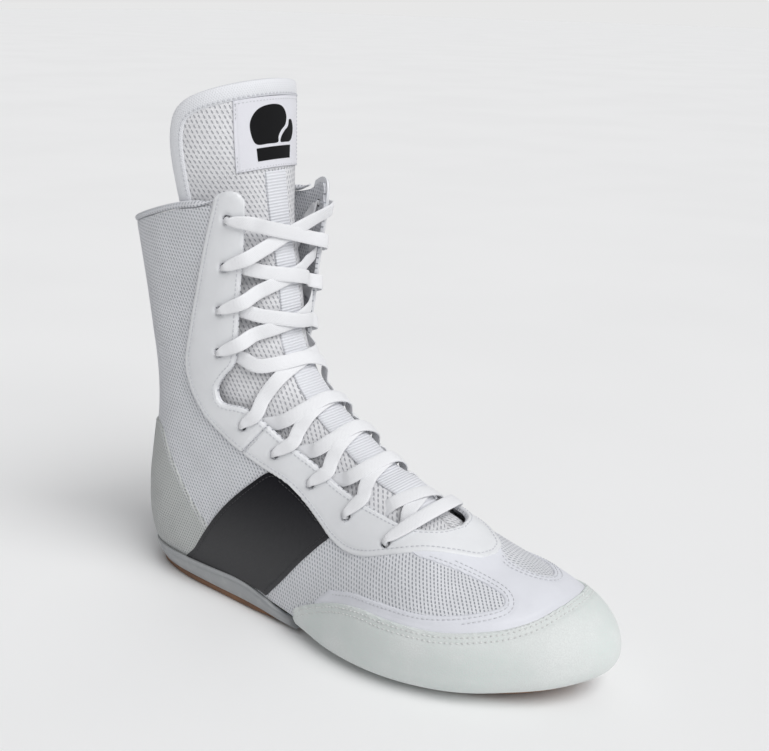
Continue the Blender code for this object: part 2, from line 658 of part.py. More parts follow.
def hermite(points, at):
    """A smooth curve through unevenly spaced points; at counts in points."""
    points = np.asarray(points, float)
    steps = np.linalg.norm(np.diff(points[:, :3], axis=0), axis=1) ** 0.5
    knots = np.r_[0, np.cumsum(steps)]
    slope = np.gradient(points, knots, axis=0)
    i = np.clip(np.floor(at).astype(int), 0, len(points) - 2)
    f = (at - i)[:, None]
    h = steps[i][:, None]
    return ((1 + 2 * f) * (1 - f) ** 2 * points[i] + f * (1 - f) ** 2 * h * slope[i]
            + f**2 * (3 - 2 * f) * points[i + 1] + f**2 * (f - 1) * h * slope[i + 1])


def sampled(stops, spacing):
    """Path, outward direction, width and thickness along a row of lace stops, smoothly joined."""
    table = np.array([[*point, *up, width, thick] for point, up, width, thick in stops])
    gaps = np.linalg.norm(np.diff(table[:, :3], axis=0), axis=1)
    at = [k + j / n for k, n in enumerate(np.ceil(gaps / spacing).astype(int)) for j in range(n)]
    line = hermite(table, np.array(at + [len(stops) - 1.0]))
    return line[:, :3], line[:, 3:6], line[:, 6], line[:, 7]


def unit(vector):
    return vector / np.linalg.norm(vector)


def off_tongue(point, t, v):
    """The point over boot section t and share v, moved out until it is clear of the tongue below
    it, and the direction it moved in."""
    row = np.interp(t, [0, 1, 2, 3, 4, 14], [1.69, 2.73, 3.79, 4.81, 6, 16])
    under, out = TONGUE.at(row, v * np.interp(row, [5, 6], [1.33, 1.04]), LACE_CLEAR)
    return point + out * max(0, (under - point) @ out), out


def beside(spot, other, distance, lift):
    """A point at a distance from one eyelet towards another, lifted off the boot."""
    spot, other = np.array(spot), np.array(other)
    speed = np.linalg.norm(BOOT.at(*(spot + (other - spot) * 0.02))[0] - BOOT.at(*spot)[0]) / 0.02
    return BOOT.at(*(spot + (other - spot) * distance / speed), lift)[0]


def hole_stops(before, spot, after, face, outward):
    """Lace stops through an eyelet at (t, v) spot, coming from one spot and going on to another."""
    way = 1 if outward else -1
    centre, n = BOOT.at(*spot)
    come = centre - beside(spot, before, 2.0, 0.0)
    stops = []
    for distance, lift, width, thick in ((4.5, 3.1, 5.6, 1.5), (1.5, 3.2, 3.4, 1.9)):
        stops.append((beside(spot, before, distance, -way * lift), face * n, width, thick))
    over = -way * face * unit(come - n * (come @ n))
    for lift in (-2.0, 0, 2.0):
        stops.append((BOOT.at(*spot, way * lift)[0], over, LACE_HOLE_W, LACE_HOLE_T))
    for distance, lift, width, thick in ((1.5, 3.2, 3.4, 1.9), (4.5, 3.1, 5.6, 1.5)):
        stops.append((beside(spot, after, distance, way * lift), -face * n, width, thick))
    return stops


def past_flap(start, end):
    """Share of the way along a strand at which it is just past the flap it starts from."""
    share = np.linspace(0, 0.45, 91)
    t = start[0] + (end[0] - start[0]) * share
    v = np.abs(start[1] + (end[1] - start[1]) * share)
    edge = np.interp(t, [row[0] for row in OPENING_EDGE], [row[1] for row in OPENING_EDGE])
    return share[np.argmin(np.abs(v - edge + 0.018))]


def strand(start, end, on_top, first_lift, last_lift, face):
    """Stops of one strand between two eyelets, without the stops at the eyelets themselves."""
    start, end = np.array(start), np.array(end)
    a, b = past_flap(start, end), 1 - past_flap(end, start)
    first, n_first = BOOT.at(*(start + (end - start) * a), first_lift)
    last, n_last = BOOT.at(*(start + (end - start) * b), last_lift)
    stops = [(first, face * n_first, LACE_W, LACE_T)]
    for share in (0.2, 0.35, 0.5, 0.65, 0.8):
        straight = first * (1 - share) + last * share
        t, v = start + (end - start) * (a + (b - a) * share)
        point, out = off_tongue(straight, t, v)
        hump = LACE_HUMP * math.exp(-((share - 0.5) / 0.2) ** 2)
        n = unit(n_first * (1 - share) + n_last * share + out)
        stops.append((point + out * (hump if on_top else -hump), face * n, LACE_W, LACE_T))
    stops.append((last, face * n_last, LACE_W, LACE_T))
    return stops


def lace_half(side_sign):
    """Stops from the middle of the bottom bar up to inside the top eyelet; side_sign is the side
    (-1 outer, 1 inner) whose bottom eyelet this half goes into."""
    pairs = len(EYELETS)
    holes = [(EYELETS[-1 - k][0], EYELETS[-1 - k][1] * side_sign * (-1) ** k) for k in range(pairs)]
    out, under = 2.9, -2.9
    t, v = holes[0]
    stops = []
    for share in (0.0, 0.35, 0.62):
        point, n = BOOT.at(t, v * share, out)
        stops.append((point, n, LACE_W, LACE_T))
    face = 1
    stops += hole_stops((t, 0), holes[0], holes[1], face, outward=False)
    for k in range(1, pairs):
        face = -face
        last = k == pairs - 1
        start, end = holes[k - 1], holes[k]
        stops += strand(start, end, start[1] > 0, under if k == 1 else out, out if last else under, face)
        after = (1.6, math.copysign(0.4, end[1])) if last else holes[k + 1]
        stops += hole_stops(start, end, after, face, outward=not last)
    point, n = BOOT.at(1.22, math.copysign(0.327, holes[-1][1]), -4.2)
    stops.append((point, -face * n, LACE_W, LACE_T))
    return stops


TAIL_ROUTE = [(1.3, 0.336, -4.3), (1.75, 0.39, -4.9), (2.3, 0.44, -5.5), (3.0, 0.485, -5.8), (4.0, 0.515, -5.8),
              (5.0, 0.53, -5.8), (6.0, 0.535, -5.8), (7.0, 0.54, -5.8), (8.0, 0.55, -5.8), (9.0, 0.575, -5.6),
              (9.9, 0.61, -5.4)]
AGLET_ROUTE = [(9.93, 0.611, -5.4), (10.25, 0.625, -5.4), (10.6, 0.64, -5.4)]


def add_lace(looks, model):
    stops = lace_half(-1)[:0:-1] + lace_half(1)
    path, up, width, thick = sampled(stops, 13.0)
    ribbon("lace", path, up, width, thick, looks["lace"], model, sides=6)
    for name, sign in (("outer", -1), ("inner", 1)):
        for kind, route, wide, high, look in (("lace_tail", TAIL_ROUTE, LACE_W, LACE_T, "lace"),
                                              ("aglet", AGLET_ROUTE, AGLET_W, 2.0, "plastic")):
            stops = [(*BOOT.at(t, v * sign, lift), wide, high) for t, v, lift in route]
            path, up, width, thick = sampled(stops, 12.0)
            ribbon(f"{kind}_{name}", path, up, width, thick, looks[look], model, sides=6)


TONGUE_CORNER = [(0.04, 0.0), (0.05, 0.2), (0.08, 0.34), (0.16, 0.42), (0.34, 0.468), (0.7, 0.487), (1.2, 0.49),
                 (FOLD_ROW - FOLD_GAP, 0.49)]
TONGUE_SCALE = (24.0, 115.0)


def add_tongue(looks, model):
    """The tongue in two parts, the free top one hung on an empty on the fold's axis."""
    s_lines = np.r_[FOLD_ROW + FOLD_GAP, np.arange(2.5, 5.1, 0.5), np.arange(6, 15.1, 1), 15.6]
    half = np.array(TONGUE_HALF)
    columns = both_sides([0, 0.06, 0.12, 0.19, 0.26, 0.33, 0.4, 0.45, 0.5])

    def lower(s, v, points):
        return (np.interp(s, half[:, 0], half[:, 1]) - np.abs(v)) * 115 + 0.91

    panel("tongue", lower, -TONGUE_T, TONGUE_T, looks["mesh"], model, columns=columns, rows=s_lines,
          surface=TONGUE)

    corner = smooth_line(TONGUE_CORNER)
    outline = np.vstack([corner, corner[::-1] * [1, -1]])

    def top(s, v, points):
        inside = depth_inside(outline, s, v, TONGUE_SCALE) - 3.3
        return np.where(s > FOLD_ROW - 0.3, (0.49 - np.abs(v)) * 115 - 2.8, inside)

    rows = np.r_[0, 0.1, 0.2, 0.35, 0.6, 1.0, 1.4, 1.7, FOLD_ROW - FOLD_GAP]
    free = [panel("tongue_top", top, -TONGUE_T, TONGUE_T, looks["mesh"], model, columns=columns, rows=rows,
                  surface=TONGUE)]

    stops = []
    for s, v in [(s, -v) for s, v in TONGUE_CORNER[::-1]] + TONGUE_CORNER[1:]:
        point, n = TONGUE.at(s, v, -TONGUE_T / 2)
        stops.append((point, n, 4.0, 4.8))
    path, up, width, thick = sampled(stops, 9.0)
    free.append(ribbon("tongue_binding", path, up, width, thick, looks["synthetic"], model, sides=6))

    label_rows = np.linspace(0.3, 1.8, 6)
    label_columns = np.linspace(-0.215, 0.225, 9)
    free.append(panel("tongue_label", lambda s, v, p: np.ones(s.shape), LAYER_GAP, 0.8, looks["synthetic"],
                      model, columns=label_columns, rows=label_rows, surface=TONGUE))
    hang(free, "tongue_fold", FOLD_POINT, model)

    ribbon_rows = np.r_[2.06, np.arange(2.5, 5.1, 0.5), np.arange(6, 15, 1)]
    panel("tongue_ribbon", lambda s, v, p: np.ones(s.shape), LAYER_GAP, 0.7, looks["ribbon"], model,
          columns=np.array([-0.07, -0.035, 0, 0.035, 0.07]), rows=ribbon_rows, surface=TONGUE)


def add_collar(looks, model):
    """The rolled edge of the collar, from one eyestay round the back to the other."""
    rim = smooth_line(COLLAR_RIM)
    stops = []
    for v in np.linspace(0.352, 1.648, 30):
        t = np.interp(1 - abs(1 - v), rim[:, 1], rim[:, 0])
        point, n = BOOT.at(t + 1.5 / 24, v, -2.1)
        stops.append((point, n, 2.4, 4.8))
    path, up, width, thick = sampled(stops, 20.0)
    ribbon("collar_binding", path, up, width, thick, looks["synthetic"], model, sides=6)


def hang(pieces, name, point, collection):
    """Parent pieces, left where they are, to an empty at a point of their hinge's axis."""
    pivot = bpy.data.objects.new(name, None)
    pivot.location = place(point)
    collection.objects.link(pivot)
    for piece in pieces:
        piece.parent = pivot
        piece.matrix_parent_inverse = Matrix.Translation(-pivot.location)


def make_looks():
    return {
        "mesh": material("white_mesh", (0.78, 0.79, 0.82), 0.85),
        "synthetic": material("white_synthetic", (0.86, 0.87, 0.88), 0.45),
        "suede": material("off_white_suede", (0.78, 0.81, 0.78), 0.9),
        "black": material("black_synthetic", (0.02, 0.02, 0.025), 0.5),
        "foam": material("grey_foxing", (0.42, 0.43, 0.44), 0.6),
        "gum": material("gum_rubber", (0.3, 0.16, 0.08), 0.55),
        "board": material("fibre_board", (0.6, 0.52, 0.4), 0.9),
        "sockliner": material("sockliner_foam", (0.7, 0.7, 0.72), 0.9),
        "lining": material("textile_lining", (0.7, 0.71, 0.74), 0.9),
        "lace": material("lace_polyester", (0.9, 0.9, 0.92), 0.7),
        "ribbon": material("grosgrain_ribbon", (0.85, 0.86, 0.88), 0.7),
        "plastic": material("clear_aglet", (0.85, 0.85, 0.85), 0.2),
    }


def make_boot():
    for old in list(bpy.data.objects):
        bpy.data.objects.remove(old)
    model = bpy.data.collections.new("boxing_boot")
    cutters = bpy.data.collections.new("cutters")
    for collection in (model, cutters):
        bpy.context.scene.collection.children.link(collection)
    looks = make_looks()
    add_sole(looks, model, cutters)
    pieces = add_mesh_upper(looks, model)
    add_stiffeners(looks, model)
    pieces.update(add_overlays(looks, model))
    drill_eyelets(pieces, cutters)
    add_collar(looks, model)
    add_tongue(looks, model)
    add_lace(looks, model)


make_boot()
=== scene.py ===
"""The looks of a laced right-foot boxing boot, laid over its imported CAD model.

Every piece is drawn on the same two surfaces as the CAD model: the boot's own fan of sections and
the tongue's. Section t runs from 0 above the collar to 21 at the toe tip; on a section, v = 0 is
the front or top centre and v = -1 and 1 meet at the back or bottom. The outer side has v below 0.
Tables are in millimetres, with x from the back of the heel; place() turns them into metres.
"""

import math

import bmesh
import bpy
import numpy as np
from mathutils import Matrix, Vector


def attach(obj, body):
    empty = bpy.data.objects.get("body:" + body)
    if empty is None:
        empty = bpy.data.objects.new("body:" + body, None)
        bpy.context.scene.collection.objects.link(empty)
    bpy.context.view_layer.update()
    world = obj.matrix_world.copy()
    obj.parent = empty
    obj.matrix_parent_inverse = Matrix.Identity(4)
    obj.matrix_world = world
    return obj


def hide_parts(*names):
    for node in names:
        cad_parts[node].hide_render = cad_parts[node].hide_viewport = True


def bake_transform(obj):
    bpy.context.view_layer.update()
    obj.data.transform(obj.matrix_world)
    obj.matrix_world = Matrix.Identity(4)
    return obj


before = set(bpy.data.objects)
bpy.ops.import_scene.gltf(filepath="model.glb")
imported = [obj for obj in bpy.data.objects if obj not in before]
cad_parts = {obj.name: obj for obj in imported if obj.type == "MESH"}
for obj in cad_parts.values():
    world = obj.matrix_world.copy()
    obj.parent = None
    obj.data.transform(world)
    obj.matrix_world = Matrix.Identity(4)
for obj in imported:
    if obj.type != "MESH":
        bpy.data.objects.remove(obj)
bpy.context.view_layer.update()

MM = 0.001
MIDDLE_X = 142.0
BOOT_BODY, FLAP_BODY = "boot", "tongue_flap"

CAMERA_AT = (0.3734, -0.4718, 0.3220)
CAMERA_AIM = (0.0148, 0.0, 0.1373)
CAMERA_UP = (-0.1973, 0.2237, 0.9545)
CAMERA_LENS = 57.4

WORLD_LIGHT, BACKGROUND = 0.3, 0.80
KEY_FROM, KEY_STRENGTH, KEY_SOFTNESS = (0.85, -0.22, 0.9), 2.25, 45
FILL_FROM, FILL_STRENGTH, FILL_SOFTNESS = (-0.5, 0.85, 0.8), 0.3, 60

MESH_T, OVERLAY_TOP, OVERLAY_UNDER = 1.5, 1.35, -0.3
BAND_TOP, TOE_TOP, HEEL_TOP = 1.5, 0.85, 1.0
SUEDE_TOP = 2.2
BINDING_DROP = 3.4
VISUAL_SEAM_T, TOE_OVERLAY_T = 10.85, 12.1
STAY_SEAM_T, STAY_SEAM_V, STAY_SEAM_SLOPE = 6.6, 0.25, 5.0
TIP_T, TIP_SLOPE = 20.3, 0.24
CUP_END_X = 133.0
EYELET_R = 2.6
# Outer and inner radius of the dark ring of painted shadow under each eyelet
EYELET_SHADOW_R, EYELET_SHADOW_HOLE_R = 2.5, 1.7
LACE_W, LACE_T = 7.5, 1.3
LACE_HOLE_W, LACE_HOLE_T = 2.9, 2.1
LACE_CLEAR, LACE_HUMP = 3.9, 0.85
AGLET_W, AGLET_T = 3.8, 2.0
TONGUE_T = 3.5
TOE_SPRING_X, TOE_SPRING = 205.0, 9.0
OUTSOLE_HEEL_T, OUTSOLE_FORE_T = 3.6, 1.2
FOXING_FALL, FOXING_TIP = (55.0, 131.0), 0.2
TOE_PULL, TOE_PULL_FROM = 9.0, 205.0
SOLE_INSET, SOLE_INSET_FROM = 3.0, 100.0
THROAT_RISE = 3.0
STITCH_PITCH, STITCH_LENGTH, STITCH_R = 2.5, 1.9, 0.3
TOE_ROWS, SUEDE_ROWS = (1.9, 4.3), (2.0, 4.4)
# Rough millimetres per step of t and of v, on the foot and on the shaft
FOOT_T_MM, FOOT_V_MM = 13, 160
SHAFT_T_MM, SHAFT_V_MM = 24, 127

# front x, z; back x, z; outer y, inner y; ridge y; share of depth behind the widest point;
# roundness of the front half and of the back half (2 is an ellipse, more is squarer)
SECTIONS = np.array([
    [102, 237.5, -10.5, 211.5, -39, 43, 1, 0.45, 3.2, 2.1],
    [99.5, 212.5, -6, 188.5, -38, 42, 1, 0.45, 3.2, 2.1],
    [97, 187, -1.5, 164.5, -37, 40, 1, 0.45, 3, 2.1],
    [96.5, 165, 2, 141.5, -36, 38, 1, 0.44, 2.8, 2.1],
    [99, 146.5, 5, 117, -35, 36, 1, 0.42, 2.5, 2.1],
    [107.5, 131.5, 4.5, 93, -34.5, 36, 1, 0.38, 2.35, 2.1],
    [118, 121, 0, 68.5, -35, 37, 1, 0.35, 2.2, 2.1],
    [131, 111, -3.5, 45.5, -36, 37, 1, 0.32, 2.2, 2.1],
    [146.5, 102.5, -2.5, 22.5, -36, 36, 1, 0.29, 2.2, 2.2],
    [159.5, 95, 6, 7.5, -35, 34, 1, 0.27, 2.2, 2.4],
    [171.5, 87.5, 45, 5.8, -34.5, 33, 1, 0.22, 2.2, 4],
    [184, 81, 86, 6.4, -36.5, 33, 1, 0.22, 2.2, 4.5],
    [195, 75, 125, 5, -43, 37, 1, 0.23, 2.2, 4.5],
    [207, 68.5, 160, 2.6, -51, 42, 1, 0.24, 2.2, 5],
    [219.5, 62.5, 189, 2.2, -53.5, 46, 1, 0.26, 2.2, 5],
    [232.5, 56.5, 215, 2.5, -50.5, 47, 2, 0.28, 2.3, 4.5],
    [246.5, 53, 237, 3.9, -44, 45, 3, 0.31, 2.3, 4.2],
    [260.5, 49.5, 256, 6.5, -34, 39, 4, 0.34, 2.3, 3.6],
    [273, 45, 271, 9, -24, 32, 6, 0.38, 2.3, 3],
    [282, 39, 281.5, 12.5, -13, 25, 7.5, 0.42, 2.2, 2.6],
    [288, 33, 288, 17, -3, 17, 8, 0.46, 2.1, 2.3],
    [291.5, 27, 291, 23.5, 5.5, 10.5, 8.5, 0.5, 2, 2],
])

# The free top of the tongue, in the same columns. Below it the tongue follows the boot's sections,
# drawn in by a depth that shrinks where its end is stitched under the vamp.
TONGUE_TOP = np.array([
    [81.5, 278, 12, 257, -38, 39, 1, 0.5, 2.1, 2.0],
    [81.5, 254, 12, 233, -38, 39, 1, 0.5, 2.1, 2.0],
    [82.5, 230, 12.5, 209, -34, 37, 1, 0.5, 2.1, 2.0],
    [85.5, 206, 13, 183, -29, 32, 1, 0.5, 2.1, 2.0],
    [90, 182, 14, 158, -28, 31, 1, 0.48, 2.2, 2.0],
    [93, 161, 14.5, 137, -28, 31, 1, 0.46, 2.2, 2.0],
])
TONGUE_DEPTHS = [5.2, 5.2, 5.2, 5.2, 5.2, 5.2, 5.2, 5.2, 5.0, 4.0, 2.9]
TONGUE_JOINS_SECTION = 4
TONGUE_HALF = [(0, 0.5), (3, 0.49), (4, 0.46), (5, 0.44), (6, 0.42), (7, 0.43), (8, 0.37), (9, 0.3),
               (10, 0.27), (13, 0.22), (14, 0.19), (15, 0.15), (15.6, 0.12)]

# The ground outline of the sole: x, then y on the outer and on the inner side
SOLE_X = [2.5, 6, 16, 40, 70, 100, 120, 135, 165, 190, 215, 240, 262, 280, 287]
SOLE_OUTER = [1, 13, 23.5, 31, 34, 36.5, 38, 38, 44, 45.5, 42, 34.5, 25, 12, -3]
SOLE_INNER = [1, 13, 23.5, 30.5, 33, 33.5, 34, 33.5, 36, 41, 43, 40, 33, 22, 10]

# The cup of the midsole: lower x, outer y, inner y; upper x, outer y, inner y, height
CUP = [
    [3, 1.5, 1.5, -2.1, 1.5, 1.5, 15],
    [4, 8, 8, 0, 10, 10, 15],
    [8, 16.5, 16.5, 5, 18.5, 18.5, 15],
    [18, 25, 25, 16, 29, 28.5, 15.5],
    [35, 30.5, 30.5, 34, 35.6, 34.6, 15.8],
    [65, 34, 33.4, 65, 37.6, 36.2, 15.6],
    [90, 36, 34, 90, 38.8, 36.6, 17.4],
    [105, 38, 34.4, 105, 40.6, 37, 17],
    [120, 41, 36, 120, 43.4, 38.8, 14.8],
    [133, 43, 37, 133, 46, 40.4, 12.4],
]

# Panel outlines as (t, |v|); the two sides mirror each other
EYESTAY_OUTER = [(0.12, 0.315), (0.47, 0.33), (1.2, 0.37), (2.2, 0.42), (3.2, 0.475), (3.9, 0.515),
                 (4.6, 0.515), (5.4, 0.475), (6.4, 0.4), (7.5, 0.325), (8.5, 0.275), (9.3, 0.272),
                 (10.2, 0.305), (10.9, 0.34), (11.5, 0.345), (11.95, 0.315), (12.4, 0.25),
                 (13.0, 0.18), (13.8, 0.12), (14.4, 0.07), (14.6, 0.0)]
OPENING_EDGE = [(0.0, 0.216), (0.6, 0.218), (1.3, 0.222), (2.2, 0.235), (3.5, 0.257), (4.25, 0.285),
                (4.6, 0.345), (4.9, 0.385), (5.35, 0.375), (5.75, 0.29), (6.4, 0.24), (7.4, 0.197),
                (8.5, 0.167), (9.5, 0.165), (10.8, 0.162), (11.9, 0.148), (12.5, 0.105),
                (12.8, 0.06), (12.95, 0.0)]
EYELETS = [(0.86, 0.281), (1.83, 0.297), (2.82, 0.322), (3.9, 0.345), (6.3, 0.316), (7.5, 0.254),
           (8.95, 0.218), (10.5, 0.236), (12.0, 0.235)]
COLLAR_RIM = [(0.8, 0.0), (0.78, 0.2), (0.6, 0.213), (0.41, 0.23), (0.3, 0.252), (0.26, 0.28),
              (0.29, 0.31), (0.36, 0.338), (0.38, 0.37), (0.37, 0.42), (0.34, 0.5), (0.38, 0.62),
              (0.47, 0.8), (0.55, 1.0)]
BUMPER_LINE = [(11.9, 0.76), (12.0, 0.64), (12.4, 0.52), (12.95, 0.455), (13.7, 0.43), (14.4, 0.413),
               (15.1, 0.398), (15.9, 0.37), (16.7, 0.325), (17.3, 0.24), (17.6, 0.1), (17.65, 0.0)]
OUTER_WINDOW = [(12.6, 0.215), (13.1, 0.2), (14.0, 0.172), (15.0, 0.158), (15.8, 0.175), (16.15, 0.22),
                (15.95, 0.265), (15.3, 0.318), (14.4, 0.362), (13.4, 0.39), (12.6, 0.43),
                (12.0, 0.5), (11.6, 0.42), (11.9, 0.3)]
INNER_WINDOW = [(12.9, 0.2), (13.4, 0.14), (14.1, 0.085), (15.0, 0.02), (15.9, 0.025), (16.4, 0.075),
                (16.3, 0.14), (15.6, 0.225), (14.6, 0.29), (13.5, 0.345), (12.6, 0.41),
                (12.0, 0.49), (11.6, 0.42), (12.0, 0.3)]
HEEL_SEAM = [(5.3, 1.0), (5.3, 0.85), (5.55, 0.72), (6.2, 0.665), (7.2, 0.617), (8.2, 0.592),
             (9.0, 0.594), (9.6, 0.64), (10.3, 0.73)]
SADDLE_BAND = [(8.0, 0.29), (8.5, 0.27), (9.3, 0.265), (10.2, 0.295), (10.8, 0.33), (10.95, 0.40),
               (11.1, 0.50), (11.25, 0.60), (11.35, 0.70), (11.38, 0.79), (10.6, 0.81), (9.75, 0.81),
               (9.5, 0.71), (9.1, 0.6), (8.5, 0.47), (8.15, 0.37)]


def catmull(rows, at):
    """Rows of a table at fractional row numbers, on a smooth curve through them."""
    rows = np.asarray(rows, float)
    at = np.clip(np.asarray(at, float), 0, len(rows) - 1 - 1e-9)
    i = np.floor(at).astype(int)
    f = (at - i)[..., None]
    p = np.vstack([2 * rows[0] - rows[1], rows, 2 * rows[-1] - rows[-2]])
    p0, p1, p2, p3 = p[i], p[i + 1], p[i + 2], p[i + 3]
    return 0.5 * (2 * p1 + (p2 - p0) * f + (2 * p0 - 5 * p1 + 4 * p2 - p3) * f**2
                  + (3 * p1 - p0 - 3 * p2 + p3) * f**3)


def arc_along(points):
    """Each point's distance along a chain of points from its first one."""
    return np.r_[0, np.cumsum(np.linalg.norm(np.diff(points, axis=0), axis=1))]


class Surface:
    """A surface swept through a table of sections, addressed by section t and share v."""

    STEPS = 10
    SIDE = 160

    def __init__(self, table):
        self.table = table
        self.last = len(table) - 1
        stations = np.arange(self.last * self.STEPS + 1) / self.STEPS
        self.points = np.array([self.ring(t) for t in stations])
        along = np.gradient(self.points, axis=0)
        around = np.gradient(self.points, axis=1)
        around[:, [0, -1]] = (self.points[:, [1]] - self.points[:, [-2]]) / 2
        normals = np.cross(along, around)
        self.normals = normals / np.maximum(np.linalg.norm(normals, axis=2, keepdims=True), 1e-9)
        self.unrolled = self.unroll()

    def ring(self, t):
        """Points of one section, evenly spaced from the back round the outer side, the front and
        the inner side to the back again."""
        fx, fz, bx, bz, outer, inner, ridge, share, n_front, n_back = catmull(self.table, t)
        depth = math.hypot(fx - bx, fz - bz)
        ex, ez = (fx - bx) / depth, (fz - bz) / depth
        turn = np.linspace(0, math.pi, 481)
        c, s = np.cos(turn), np.sin(turn)
        n = np.where(c >= 0, n_front, n_back)
        reach = np.where(c >= 0, depth * (1 - share), depth * share)
        deep = np.sign(c) * np.abs(c) ** (2 / n) * reach + depth * share
        wide = np.abs(s) ** (2 / n)
        halves = []
        for width in (outer - ridge, inner - ridge):
            half = np.stack([bx + deep * ex, ridge + width * wide, bz + deep * ez], -1)
            arc = arc_along(half)
            share_of_arc = np.linspace(0, arc[-1], self.SIDE + 1)
            halves.append(np.stack([np.interp(share_of_arc, arc, half[:, k]) for k in range(3)], -1))
        return np.vstack([halves[0][::-1], halves[1][1:]])

    def unroll(self):
        """Each point's place on the cloth laid flat: x and z at mid-side, then the length of the
        way round, shared between the two by the way the cloth faces."""
        step = np.diff(self.points, axis=1)
        facing = (self.normals[:, 1:] + self.normals[:, :-1]) / 2
        share = facing[..., 0] ** 2 / (facing[..., 0] ** 2 + facing[..., 2] ** 2 + 1e-6)
        over = np.sqrt(step[..., 0] ** 2 + share * step[..., 1] ** 2)
        up = np.sqrt(step[..., 2] ** 2 + (1 - share) * step[..., 1] ** 2)
        steps = np.stack([over, up], -1)
        steps[:, self.SIDE:] *= -1
        flat = np.concatenate([np.zeros((len(steps), 1, 2)), np.cumsum(steps, axis=1)], axis=1)
        for start, stop, middle in ((0, self.SIDE, self.SIDE // 2), (self.SIDE, None, self.SIDE * 3 // 2)):
            moved = self.points[:, [middle]][..., [0, 2]] - flat[:, [middle]]
            flat[:, start:stop] += moved
        return flat

    def mixed(self, grid, t, v):
        v = (v + 1) % 2
        ti = np.clip(t * self.STEPS, 0, self.last * self.STEPS - 1e-6)
        vi = np.clip(v * self.SIDE, 0, 2 * self.SIDE - 1e-6)
        i, j = ti.astype(int), vi.astype(int)
        f, g = (ti - i)[..., None], (vi - j)[..., None]
        low = grid[i, j] * (1 - g) + grid[i, j + 1] * g
        high = grid[i + 1, j] * (1 - g) + grid[i + 1, j + 1] * g
        return low * (1 - f) + high * f

    def at(self, t, v, lift=0.0):
        """Points lifted off the surface; v beyond 1 runs on round the back."""
        t, v = np.broadcast_arrays(np.asarray(t, float), np.asarray(v, float))
        normal = self.mixed(self.normals, t, v)
        normal = normal / np.linalg.norm(normal, axis=-1, keepdims=True)
        return self.mixed(self.points, t, v) + np.asarray(lift, float)[..., None] * normal, normal

    def flat(self, t, v):
        return self.mixed(self.unrolled, t, v)


def tongue_sections():
    """The free top, then the boot's own sections drawn in by the tongue's depth under the flaps."""
    rows = []
    for row, drawn_in in zip(SECTIONS[TONGUE_JOINS_SECTION:], TONGUE_DEPTHS):
        fx, fz, bx, bz = row[:4]
        depth = math.hypot(fx - bx, fz - bz)
        drawn = row.copy()
        drawn[0] -= (fx - bx) * drawn_in / depth
        drawn[1] -= (fz - bz) * drawn_in / depth
        drawn[4] += drawn_in
        drawn[5] -= drawn_in
        rows.append(drawn)
    return np.vstack([TONGUE_TOP, rows])


BOOT = Surface(SECTIONS)
TONGUE = Surface(tongue_sections())


def smooth_line(points, steps=8):
    count = (len(points) - 1) * steps + 1
    return catmull(points, np.linspace(0, len(points) - 1, count))


def closed_line(points, steps=8):
    p = np.array(points, float)
    ring = np.vstack([p[-1:], p, p[:2]])
    return catmull(ring, np.linspace(1, len(p) + 1, len(p) * steps + 1))


def mirrored(line):
    return np.array(line) * [1, -1]


def inside(polygon, t, v):
    """Whether each spot is inside a closed outline."""
    odd = np.zeros(t.shape, bool)
    for (at, av), (bt, bv) in zip(polygon, np.roll(polygon, -1, axis=0)):
        if av != bv:
            odd ^= ((av > v) != (bv > v)) & (t < at + (v - av) * (bt - at) / (bv - av))
    return odd


def distance(line, points):
    """Each point's distance to a chain of points."""
    near = np.full(points.shape[:-1], np.inf)
    for a, b in zip(line, line[1:]):
        ab = b - a
        share = np.clip(((points - a) @ ab) / max(ab @ ab, 1e-9), 0, 1)
        near = np.minimum(near, np.linalg.norm(points - a - share[..., None] * ab, axis=-1))
    return near


class Outline:
    """The edge of a piece on a surface. The seam is the part of its polygon that is a real edge, and
    distances to it are true millimetres."""

    def __init__(self, polygon, seam=None, surface=BOOT, round_back=False):
        self.polygon = np.array(polygon, float)
        self.seam = self.polygon if seam is None else np.array(seam, float)
        self.surface = surface
        self.round_back = round_back
        self.line = surface.at(self.seam[:, 0], self.seam[:, 1])[0]

    def depth(self, t, v):
        """Distance inside the outline, negative outside it."""
        within = inside(self.polygon, t, v % 2 if self.round_back else v)
        return np.where(within, 1, -1) * distance(self.line, self.surface.at(t, v)[0])


def fan_outline(line, far_t):
    """What lies between a line drawn for the inner side, its mirror image and section far_t."""
    half = smooth_line(line)
    seam = np.vstack([mirrored(half), half[-2::-1]])
    return Outline(np.vstack([[(far_t, -half[0, 1])], seam, [(far_t, half[0, 1])]]), seam)


def collar_outline():
    """Everything below the rim of the collar."""
    rim = smooth_line(COLLAR_RIM)
    ring = np.vstack([rim, (rim * [1, -1] + [0, 2])[::-1]])
    return Outline(np.vstack([ring, [(30, 2), (30, 0)]]), ring, round_back=True)


def heel_outline():
    half = smooth_line(HEEL_SEAM)
    seam = np.vstack([half[::-1], (half * [1, -1] + [0, 2])[1:]])
    return Outline(np.vstack([seam, [(14, 1.27), (14, 0.73)]]), seam, round_back=True)


def bumper_outline():
    half = smooth_line(BUMPER_LINE)
    seam = np.vstack([half, mirrored(half)[-2::-1]])
    return Outline(np.vstack([seam, [(11.9, -1.4), (23, -1.4), (23, 1.4), (11.9, 1.4)]]), seam)


OPENING = fan_outline(OPENING_EDGE, -2)
EYESTAY = fan_outline(EYESTAY_OUTER, -2)
COLLAR = collar_outline()
HEEL = heel_outline()
BUMPER = bumper_outline()
BANDS = {side: Outline(closed_line(SADDLE_BAND) * [1, sign]) for side, sign in (("outer", -1), ("inner", 1))}
WINDOWS = {"outer": Outline(closed_line(OUTER_WINDOW) * [1, -1]), "inner": Outline(closed_line(INNER_WINDOW))}


def eyelet_points():
    spots = np.array(EYELETS + [(t, -v) for t, v in EYELETS])
    return BOOT.at(spots[:, 0], spots[:, 1])[0]


EYELET_POINTS = eyelet_points()


